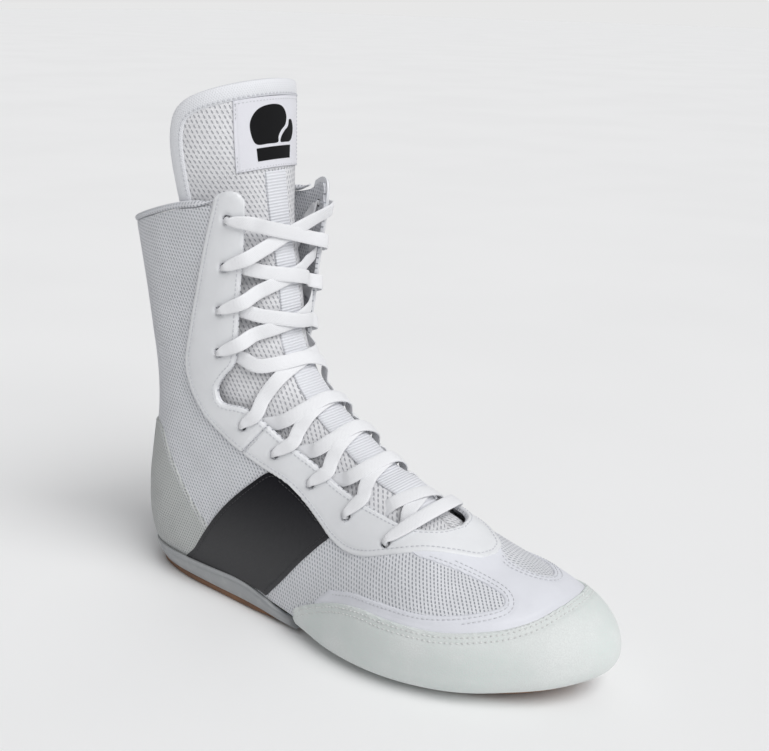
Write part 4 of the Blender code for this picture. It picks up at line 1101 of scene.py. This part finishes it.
TAIL_ROUTE = [(1.3, 0.336, -4.3), (1.75, 0.39, -4.9), (2.3, 0.44, -5.5), (3.0, 0.485, -5.8),
              (4.0, 0.515, -5.8), (5.0, 0.53, -5.8), (6.0, 0.535, -5.8), (7.0, 0.54, -5.8),
              (8.0, 0.55, -5.8), (9.0, 0.575, -5.6), (9.9, 0.61, -5.4)]
AGLET_ROUTE = [(9.93, 0.611, -5.4), (10.25, 0.625, -5.4), (10.6, 0.64, -5.4)]


def add_lace(looks):
    """The lace, laced up, and its two free tails inside the shaft."""
    stops = lace_half(-1)[:0:-1] + lace_half(1)
    path, up, width, thick = sampled(stops, 2.2)
    ribbon_piece("lace_braid", path, up, width, thick, looks["lace"], "lace")
    for name, sign in (("outer", -1), ("inner", 1)):
        stops = [(*BOOT.at(t, v * sign, lift), AGLET_W, AGLET_T) for t, v, lift in AGLET_ROUTE]
        path, up, width, thick = sampled(stops, 1.5)
        pinch = 1 - 0.25 * np.exp(-((np.arange(len(path)) - 2) / 1.2) ** 2)
        tip = ribbon_piece(f"lace_tip_{name}", path, up, width * pinch, thick * pinch, looks["aglet"],
                           f"aglet_{name}", square=0.9)
        stops = [(*BOOT.at(t, v * sign, lift), LACE_W, LACE_T) for t, v, lift in TAIL_ROUTE]
        path, up, width, thick = sampled(stops, 2.5)
        ends = np.clip(np.arange(len(path))[::-1] / 4, 0, 1)
        in_tip = AGLET_W * 0.9
        tail = ribbon_piece(f"lace_end_{name}", path, up, in_tip + (width - in_tip) * ends, thick,
                            looks["lace"], f"lace_tail_{name}")
        route = place(path)


# ---------------------------------------------------------------- upper

GRID_T, GRID_V = 0.1, 0.0105
FINE_T, FINE_V = 0.07, 0.0065


def quarter_keep(side):
    """The mesh of one side, from the collar's binding to the sole."""
    sign = -1 if side == "outer" else 1

    def keep(t, v):
        rim = COLLAR.depth(t, v) - BINDING_DROP
        seam = (VISUAL_SEAM_T - t) * FOOT_T_MM
        this_side = sign * v * FOOT_V_MM + 0.5
        return np.minimum.reduce([rim, -OPENING.depth(t, v), seam, off_eyelets(t, v) + 0.3, this_side])

    return keep


def add_mesh(looks):
    """The mesh shell: a quarter on each side, and the vamp ahead of them."""
    rows = steps(0, VISUAL_SEAM_T + 0.1, GRID_T)
    for side, columns in (("outer", steps(-0.999, 0, GRID_V)), ("inner", steps(0, 0.999, GRID_V))):
        patch(f"mesh_{side}", rows, columns, quarter_keep(side),
              lambda d, t, v: 0.15 * rounded(d, 1, 0) - 0.15, -MESH_T, looks["mesh"], f"quarter_{side}")

    def vamp(t, v):
        seam = (t - VISUAL_SEAM_T - 0.01) * FOOT_T_MM
        return np.minimum.reduce([seam, -OPENING.depth(t, v), off_eyelets(t, v) + 0.3])

    patch("mesh_vamp", steps(VISUAL_SEAM_T, TIP_T, GRID_T), both(steps(0, 1, GRID_V)), vamp,
          lambda d, t, v: np.zeros(t.shape), -MESH_T, looks["mesh"], "vamp")


def add_lining(looks):
    """The lining round the back of the shaft."""
    def keep(t, v):
        low, front = (7.5 - t) * SHAFT_T_MM, (1 - np.abs(v - 1) - 0.43) * SHAFT_V_MM
        return np.minimum.reduce([COLLAR.depth(t, v) - BINDING_DROP, low, front])

    patch("lining_jersey", steps(0, 7.6, 0.2), steps(0.42, 1.58, 0.02), keep,
          lambda d, t, v: np.full(t.shape, -3.2), -4.2, looks["lining"], "shaft_lining")


def overlay_top(outline, rows, height=OVERLAY_TOP, under=OVERLAY_UNDER):
    """An overlay's outer face: rounded at its edges and drawn down along its rows of stitches."""
    def top(depth, t, v):
        return under + (height - under) * rounded(depth, 0.9) + groove(outline.depth(t, v), rows)

    return top


def add_eyestays(looks):
    """The eyestays with their stitches, and a painted shadow in each eyelet: a dark ring under the mesh that
    stands for the shade inside the hole.
    """
    threads = Body()

    def upper(t, v):
        return np.minimum.reduce([EYESTAY.depth(t, v), -OPENING.depth(t, v) - 0.2, -eyestay_seam(t, v),
                                  COLLAR.depth(t, v) - 0.4, off_eyelets(t, v)])

    def lower(t, v):
        return np.minimum.reduce([EYESTAY.depth(t, v), -OPENING.depth(t, v) - 0.2, eyestay_seam(t, v) - 0.5,
                                  off_eyelets(t, v)])

    top = overlay_top(EYESTAY, (2.9,))
    half = steps(0.16, 0.535, FINE_V)
    patch("stay_upper_outer", steps(0, 7.6, FINE_T), -half[::-1], upper, top, OVERLAY_UNDER,
          looks["synthetic"], "eyestay_upper_outer")
    patch("stay_upper_inner", steps(0, 7.6, FINE_T), half, upper, top, OVERLAY_UNDER, looks["synthetic"],
          "eyestay_upper_inner")
    patch("stay_lower", steps(6.0, 14.7, FINE_T), both(steps(0, 0.48, FINE_V)), lower, top, OVERLAY_UNDER,
          looks["synthetic"], "eyestay_lower")

    def whole(t, v):
        return np.minimum.reduce([EYESTAY.depth(t, v), COLLAR.depth(t, v) - 0.4])

    def inner_edge(t, v):
        return np.minimum.reduce([-OPENING.depth(t, v), COLLAR.depth(t, v) - 0.4, off_eyelets(t, v) - 0.4])

    def both_edges(t, v):
        return np.minimum(whole(t, v), inner_edge(t, v))

    stitches(threads, EYESTAY.seam, BOOT, whole, 2.9, OVERLAY_TOP - 0.15)
    stitches(threads, OPENING.seam[20:-20], BOOT, inner_edge, 2.2, OVERLAY_TOP)
    for sign in (-1, 1):
        v = np.linspace(0.27, 0.41, 20)
        seam = np.stack([STAY_SEAM_T + (v - STAY_SEAM_V) * STAY_SEAM_SLOPE + 0.16, v * sign], -1)
        stitches(threads, seam, BOOT, both_edges, 0.6, OVERLAY_TOP, clear=1.5)
    threads.build("stay_stitches", looks["thread"])

    # Painted shadow: a dark ring inside each eyelet's hole, just under the mesh surface
    def painted_eyelet_shadow(t, v):
        off = off_eyelets(t, v) + EYELET_R
        return np.minimum(off - EYELET_SHADOW_HOLE_R, EYELET_SHADOW_R - off)

    for side, columns in (("outer", -steps(0.1, 0.5, 0.003)[::-1]), ("inner", steps(0.1, 0.5, 0.003))):
        patch(f"eyelet_painted_shadow_{side}", steps(0.5, 14.7, 0.025), columns, painted_eyelet_shadow,
              lambda d, t, v: np.full(t.shape, -1.0), -1.3, looks["shadow"], None)


def add_toe(looks):
    """The toe overlay, with two rows of stitches round each of its windows."""
    threads = Body()

    def keep(t, v):
        holes = np.maximum(WINDOWS["outer"].depth(t, v), WINDOWS["inner"].depth(t, v))
        return np.minimum.reduce([-EYESTAY.depth(t, v) + 1.5, -BUMPER.depth(t, v) + 1.0, -holes,
                                  (t - TOE_OVERLAY_T) * FOOT_T_MM])

    def top(depth, t, v):
        near = np.minimum(-WINDOWS["outer"].depth(t, v), -WINDOWS["inner"].depth(t, v))
        pulled = groove(near, TOE_ROWS, 0.25) + groove(-BUMPER.depth(t, v), (2.0,), 0.15)
        return OVERLAY_UNDER + (TOE_TOP - OVERLAY_UNDER) * rounded(depth, 0.9) + pulled

    patch("toe_cover", steps(12.0, 17.9, FINE_T), both(steps(0, 0.58, FINE_V)), keep, top, OVERLAY_UNDER,
          looks["toe_synthetic"], "toe_overlay")
    for outline in WINDOWS.values():
        seam = np.vstack([outline.seam, outline.seam[:1]])

        def outside(t, v, outline=outline):
            return np.minimum.reduce([-outline.depth(t, v), -EYESTAY.depth(t, v) - 0.5,
                                      -BUMPER.depth(t, v) - 0.6, (t - TOE_OVERLAY_T) * FOOT_T_MM])

        for inset in TOE_ROWS:
            stitches(threads, seam, BOOT, outside, inset, 0.75, clear=0.8)
    threads.build("toe_stitches", looks["thread"])


def add_bumper(looks):
    """The suede bumper round the toe, drawn in under the boot."""
    threads = Body()

    def keep(t, v):
        p = BOOT.at(t, v)[0]
        wrapped = np.maximum((0.8 - np.abs(v)) * FOOT_V_MM, (t - 19) * FOOT_T_MM)
        return np.minimum.reduce([BUMPER.depth(t, v), wrapped, p[..., 0] - CUP_END_X - 0.6])

    def top(depth, t, v):
        p = BOOT.at(t, v)[0]
        low = np.clip((p[..., 2] - outsole_high(p[..., 0]) - 0.2) / 6, 0, 1)
        height = 1.1 + (SUEDE_TOP - 1.1) * low
        pulled = groove(BUMPER.depth(t, v), SUEDE_ROWS, 0.6, 0.65)
        return -0.2 + (height + 0.2) * rounded(depth, 1.3, 0.5) + pulled

    patch("toe_suede", steps(11.9, TIP_T, 0.09), both(steps(0, 1, 0.0095)), keep, top, -0.3, looks["suede"],
          "toe_bumper")
    for inset in SUEDE_ROWS:
        stitches(threads, BUMPER.seam, BOOT, keep, inset, SUEDE_TOP - 0.4, pitch=2.7, length=1.8, radius=0.36)
    threads.build("suede_stitches", looks["suede_thread"])


def above_cup(t, v, overlap):
    """Positive above the midsole cup's rim, less an overlap, and ahead of the cup's end."""
    p = BOOT.at(t, v)[0]
    return np.maximum(p[..., 2] - cup_rim(p[..., 0]) + overlap, p[..., 0] - CUP_END_X)


def add_heel(looks):
    """The grey mesh panel round the heel. Its darker grey is partly the panel's own greenish colour and
    partly painted shade at the back of the boot.
    """
    threads = Body()

    def keep(t, v):
        return np.minimum(HEEL.depth(t, v), above_cup(t, v, 3))

    def top(depth, t, v):
        return -0.3 + (HEEL_TOP + 0.3) * rounded(depth, 1.2, 0.3) + groove(HEEL.depth(t, v), (1.8,), 0.2)

    patch("heel_mesh_painted_shade", steps(5.2, 10.4, 0.09), steps(0.58, 1.42, 0.009), keep, top, OVERLAY_UNDER,
          looks["heel_mesh_painted_shade"], "heel_panel")
    stitches(threads, HEEL.seam, BOOT, keep, 1.8, 0.85, pitch=2.3, length=1.6, radius=0.22)
    threads.build("heel_stitches", looks["thread"])


def add_bands(looks):
    """The black band on each side, thinner where the eyestay overlaps it."""
    for side, outline in BANDS.items():
        threads = Body()
        sign = -1 if side == "outer" else 1

        def keep(t, v, outline=outline):
            under_stay = -EYESTAY.depth(t, v) + 1.2
            return np.minimum.reduce([outline.depth(t, v), under_stay, above_cup(t, v, 2.5)])

        def top(depth, t, v, outline=outline):
            low = np.clip((-EYESTAY.depth(t, v) - 0.6) / 4, 0, 1)
            height = 0.85 + (BAND_TOP - 0.85) * low
            pulled = groove(outline.depth(t, v), (2.2,), 0.25)
            return OVERLAY_UNDER + (height - OVERLAY_UNDER) * rounded(depth, 0.9, 0.78) + pulled

        columns = steps(0.25, 0.84, FINE_V)
        columns = columns if sign > 0 else -columns[::-1]
        patch(f"band_{side}", steps(7.9, 11.5, FINE_T), columns, keep, top, OVERLAY_UNDER, looks["black"],
              f"saddle_band_{side}")
        seam = np.vstack([outline.seam, outline.seam[:1]])
        stitches(threads, seam, BOOT, keep, 2.2, BAND_TOP - 0.15, pitch=2.4, length=1.7, radius=0.26)
        threads.build(f"band_stitches_{side}", looks["black_thread"])


def add_collar(looks):
    """The rolled binding of the collar."""
    rim = smooth_line(COLLAR_RIM)
    stops = []
    for v in np.linspace(0.338, 1.662, 60):
        t = np.interp(1 - abs(1 - v), rim[:, 1], rim[:, 0])
        point, n = BOOT.at(t + 1.5 / SHAFT_T_MM, v, -2.0)
        stops.append((point, n, 3.4, 5.4))
    path, up, width, thick = sampled(stops, 2.5)
    taper = tapered(path, 6, 0.3)
    ribbon_piece("collar_roll", path, up, width * taper, thick * taper, looks["mesh"], "collar_binding",
                 square=0.85)


# ---------------------------------------------------------------- tongue

TONGUE_CORNER = [(0.04, 0.0), (0.05, 0.2), (0.08, 0.34), (0.16, 0.42), (0.34, 0.468), (0.7, 0.487),
                 (1.2, 0.49), (2.0, 0.49)]
LABEL = [(0.3, -0.21), (0.3, 0.22), (1.8, 0.22), (1.8, -0.21), (0.3, -0.21)]
LABEL_BORDER = Outline(LABEL, surface=TONGUE)
LABEL_MIDDLE, LABEL_T_MM, LABEL_V_MM = (1.05, -0.004), 24.5, 115.0
GLOVE_MITT = [(-12.0, -5.0), (-14.8, 0.5), (-15.0, 7.3), (-10.8, 12.8), (-2.8, 14.6), (4.9, 13.4), (8.8, 8.9),
              (8.2, 3.9), (4.4, 0.7), (2.3, -2.4), (1.7, -5.3), (-5.0, -5.5)]
GLOVE_THUMB = [(3.9, -5.3), (4.5, -2.6), (7.1, 0.2), (10.6, 2.7), (11.7, 6.0), (14.4, 5.7), (15.9, 1.5),
               (14.6, -3.0), (11.8, -5.3), (7.7, -5.5)]
GLOVE_CUFF = [(-11.6, -14.0), (-12.1, -7.2), (12.4, -7.2), (11.8, -14.0)]


def bend_over_fold(piece):
    """Bake the tongue piece's placement into its mesh."""
    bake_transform(piece)


def tongue_outline():
    corner = smooth_line(TONGUE_CORNER)
    below = np.array([(2.5, 0.49)] + TONGUE_HALF[1:])
    half = np.vstack([corner, below])
    return Outline(np.vstack([half, mirrored(half)[::-1]]), surface=TONGUE)


def label_region(polygon):
    """Depth inside a shape drawn in millimetres across and up from the label's middle."""
    shape = closed_line(polygon) if len(polygon) > 4 else np.array(polygon, float)

    def depth(t, v):
        across, up = (v - LABEL_MIDDLE[1]) * LABEL_V_MM, (LABEL_MIDDLE[0] - t) * LABEL_T_MM
        line = np.vstack([shape, shape[:1]])
        within = inside(shape, across, up)
        return np.where(within, 1, -1) * distance(line, np.stack([across, up], -1))

    return depth


def tape_laid(t, v):
    """The tape laid flat: millimetres across it and along the tongue's centre line."""
    rows = np.linspace(0, TONGUE.last, 400)
    line = TONGUE.at(rows, 0.0)[0]
    along = arc_along(line)
    return np.stack([v * LABEL_V_MM, np.interp(t, rows, along)], -1)


def throat_rise(t):
    """How far the tongue is pressed up against the eyestay at the lower end of the opening."""
    return THROAT_RISE * eased(t, 11.5, 12.6) * (1 - eased(t, 12.9, 13.6))


def add_tongue_pad(looks, outline):
    """The padded tongue, in one piece across its fold."""
    def keep(t, v):
        return outline.depth(t, v) - 0.8

    def top(depth, t, v):
        crown = 0.5 * np.clip(np.abs(v) / 0.12, 0, 1) * np.clip(depth / 6, 0, 1)
        return -0.6 * (1 - rounded(depth, 2.0, 0)) + crown - 0.5 + throat_rise(t)

    padded = patch("tongue_pad", steps(0, 15.7, 0.1), both(steps(0, 0.5, 0.0095)), keep, top, -TONGUE_T,
                   looks["tongue_mesh"], ["tongue", "tongue_top"], surface=TONGUE, body=None)
    bend_over_fold(padded)


def add_tongue_binding(looks, outline):
    """The flat tape sewn round the tongue's free edge."""
    corner = smooth_line(TONGUE_CORNER, 4)
    half = np.vstack([corner, [(2.5, 0.49), (3, 0.485), (3.5, 0.475)]])
    seam = np.vstack([mirrored(half)[::-1], half[1:]])
    stops = []
    for s, v in inset_spots(seam, TONGUE, outline.depth, 1.7):
        point, n = TONGUE.at(s, v, -TONGUE_T / 2 + 0.1)
        stops.append((point, n, 8.6, 4.7))
    path, up, width, thick = sampled(stops, 2.5)
    taper = tapered(path, 8, 0.35)
    roll = ribbon_piece("tongue_roll", path, up, width * taper, thick * taper, looks["tape"],
                        "tongue_binding", body=None, square=0.5)
    bend_over_fold(roll)


def add_tongue_stitches(looks, outline):
    """The stitches inside the binding and round the label."""
    corner = smooth_line(TONGUE_CORNER, 4)
    threads = Body()
    line = np.vstack([mirrored(corner)[::-1], corner[1:]])
    stitches(threads, line, TONGUE, outline.depth, 4.4, 0.7, pitch=2.6, length=1.8, radius=0.34)
    sides = [np.linspace(a, b, 12, endpoint=False) for a, b in zip(LABEL, LABEL[1:])]
    label_edge = np.vstack(sides + [LABEL[:1]])
    stitches(threads, label_edge, TONGUE, LABEL_BORDER.depth, 1.3, 0.95, pitch=2.0, length=1.35, radius=0.26)
    bend_over_fold(threads.build("tongue_stitches", looks["thread"], body=None))


def add_label(looks):
    """The tongue's label and its emblem, a plain boxing glove."""
    label = patch("label_patch", steps(0.28, 1.82, 0.02), steps(-0.22, 0.23, 0.0045), LABEL_BORDER.depth,
                  lambda d, t, v: 0.3 + 0.75 * rounded(d, 0.5) + groove(d, (1.3,), 0.3, 0.5), 0.1,
                  looks["label"], "tongue_label", surface=TONGUE, body=None)
    bend_over_fold(label)
    shapes = [label_region(shape) for shape in (GLOVE_MITT, GLOVE_THUMB, GLOVE_CUFF)]

    def glove(t, v):
        return np.maximum.reduce([shape(t, v) for shape in shapes])

    emblem = patch("label_emblem", steps(0.4, 1.66, 0.014), steps(-0.14, 0.155, 0.003), glove,
                   lambda d, t, v: 1.05 + 0.22 * rounded(d, 0.4), 1.0, looks["ink"], None, surface=TONGUE,
                   body=None)
    bend_over_fold(emblem)


def add_tongue_tape(looks):
    """The ribbon down the middle of the tongue."""
    edge = Outline([(1.86, -0.07), (1.86, 0.07), (14.2, 0.07), (14.2, -0.07)], surface=TONGUE)
    tape = patch("tongue_tape", steps(1.84, 14.3, 0.1), steps(-0.078, 0.078, 0.0075), edge.depth,
                 lambda d, t, v: 0.1 + 0.9 * rounded(d, 0.5) + throat_rise(t), -0.6, looks["ribbon"],
                 "tongue_ribbon", surface=TONGUE, body=None, laid=tape_laid)
    bend_over_fold(tape)


def add_tongue(looks):
    """The tongue with everything sewn to it."""
    outline = tongue_outline()
    add_tongue_pad(looks, outline)
    add_tongue_binding(looks, outline)
    add_tongue_stitches(looks, outline)
    add_label(looks)
    add_tongue_tape(looks)


# ---------------------------------------------------------------- sole


LOWER_T, LOWER_V = (a.ravel() for a in np.meshgrid(steps(6, 20.6, 0.05), steps(0.3, 0.999, 0.01)))
LOWER_BOOT = {sign: BOOT.at(LOWER_T, LOWER_V * sign, 0.0)[0] for sign in (-1, 1)}


def boot_half_width(x, z, sign):
    """How far out the boot's surface is on one side, at a place along it and a height."""
    p = LOWER_BOOT[sign]
    gap = np.hypot(p[:, 0] - x, p[:, 2] - z)
    return float((p[gap < max(2.0, gap.min() + 0.5), 1] * sign).max())


def sole_inset(x):
    """How far the sole's outline is drawn in where it runs on under the upper."""
    return SOLE_INSET * np.clip((x - SOLE_INSET_FROM) / 35, 0, 1)


def band_sections():
    """Lower and upper edge of the midsole's wall, from the outer side round the heel to the inner."""
    rows = smooth_line(CUP, 6)
    lower, upper = [], []
    for sign, column in ((-1, 1), (1, 2)):
        order = rows[::-1] if sign < 0 else rows
        for row in order:
            low = float(outsole_high(row[0])) + 0.1
            fall = np.clip((row[3] - FOXING_FALL[0]) / (FOXING_FALL[1] - FOXING_FALL[0]), 0, 1)
            high = low + (row[6] - low) * (1 - (1 - FOXING_TIP) * fall**2)
            lower.append((row[0], sign * (row[column] - sole_inset(row[0])), low))
            hugging = boot_half_width(row[3], high, sign) - 0.2
            upper.append((row[3], sign * (row[column + 3] + (hugging - row[column + 3]) * fall), high))
    return np.array(lower, float), np.array(upper, float)


def add_foxing(looks):
    """The grey wall: a strip with a rounded lip and a shallow line under it."""
    lower, upper = band_sections()
    away = np.gradient((lower + upper) / 2, axis=0)
    away[:, 2] = 0
    away /= np.maximum(np.linalg.norm(away, axis=1, keepdims=True), 1e-9)
    out = np.stack([-away[:, 1], away[:, 0], np.zeros(len(away))], -1)
    out *= np.sign((out * (upper - [70, 0, 0])).sum(axis=1))[:, None]
    arc = arc_along(lower)
    thin = np.clip(np.minimum(arc, arc[-1] - arc) / 14, 0.25, 1)
    profile = [(0.0, 0.0), (0.03, 0.35), (0.25, 0.8), (0.5, 0.95), (0.7, 0.75), (0.76, 0.35), (0.80, 0.32),
               (0.84, 0.75), (0.93, 0.6), (0.99, 0.15), (1.0, -0.5), (0.97, -1.7), (0.6, -4.0), (0.0, -6.0)]
    points, flat = [], []
    for k in range(len(lower)):
        for share, bulge in profile:
            bulge *= thin[k] if bulge > 0 else 1
            points.append(lower[k] + (upper[k] - lower[k]) * share + out[k] * bulge)
            flat.append((arc[k], share * 12))
    made = Body()
    made.add(points, flat, tube_faces(len(lower), len(profile)))
    made.build("foxing", looks["foxing"], "midsole_cup", weld=0.01)


def tread(x, y):
    """Depth of the tread's grooves: a shallow herringbone, left out near the edge and the waist."""
    zigzag = np.abs(((y + 60) / 18) % 2 - 1) * 9
    line = ((x + zigzag) / 6.5) % 1
    cut = np.clip(1 - np.abs(line - 0.5) / 0.16, 0, 1)
    waist = np.clip((np.abs(x - 112) - 26) / 4, 0, 1)
    return 0.7 * np.minimum(cut * 2, 1) * waist


def add_outsole(looks):
    """The gum sole: rounded edges, a flush upper rim and a grooved underside."""
    line = smooth_line(np.stack([SOLE_X, SOLE_OUTER, SOLE_INNER], -1), 10)
    xs = np.r_[3.4, 3.8, 4.5, np.arange(5.5, 284, 1.1), 284.6, 285.2]
    across = np.linspace(-1, 1, 61)
    rings, flat = [], []
    for s in xs:
        outer, inner = [np.interp(s, line[:, 0], line[:, k]) - sole_inset(s) for k in (1, 2)]
        x = s - TOE_PULL * np.clip((s - TOE_PULL_FROM) / (285 - TOE_PULL_FROM), 0, 1) ** 2
        low, high = float(outsole_low(x)), float(outsole_high(x))
        middle, half = (inner - outer) / 2, (inner + outer) / 2
        edge = min(0.8, half / 3)
        y = middle + across * (half - edge)
        fade = np.clip((half - np.abs(y - middle) - 3) / 1.5, 0, 1)
        under = low + tread(x, y) * fade * (1 if high - low > 1.1 else 0.5)
        ring = [(x, a, b) for a, b in zip(y, under)]
        ring += [(x, middle + half - edge * 0.3, low + 0.25), (x, middle + half, low + 0.7)]
        ring += [(x, middle + half, high - 0.3), (x, middle + half - 0.4, high)]
        ring += [(x, middle - half + 0.4, high), (x, middle - half, high - 0.3)]
        ring += [(x, middle - half, low + 0.7), (x, middle - half + edge * 0.3, low + 0.25)]
        rings.append(ring)
        flat += [(x, p[1]) for p in ring]
    made = Body()
    made.add([p for ring in rings for p in ring], flat, tube_faces(len(rings), len(rings[0])))
    made.build("gum_sole", looks["gum"], "outsole", weld=0.005)


def add_inner_parts(looks):
    """Better materials on the CAD pieces that are right as they are."""
    for node, look in (("insole_board", "board"), ("heel_counter", "board"), ("toe_puff", "board"),
                       ("sockliner", "sockliner")):
        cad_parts[node].material_slots[0].material = looks[look]


looks = make_looks()
add_camera()
add_lace(looks)
add_studio()
add_mesh(looks)
add_lining(looks)
add_eyestays(looks)
add_toe(looks)
add_bumper(looks)
add_heel(looks)
add_bands(looks)
add_collar(looks)
add_tongue(looks)
add_foxing(looks)
add_outsole(looks)
add_inner_parts(looks)
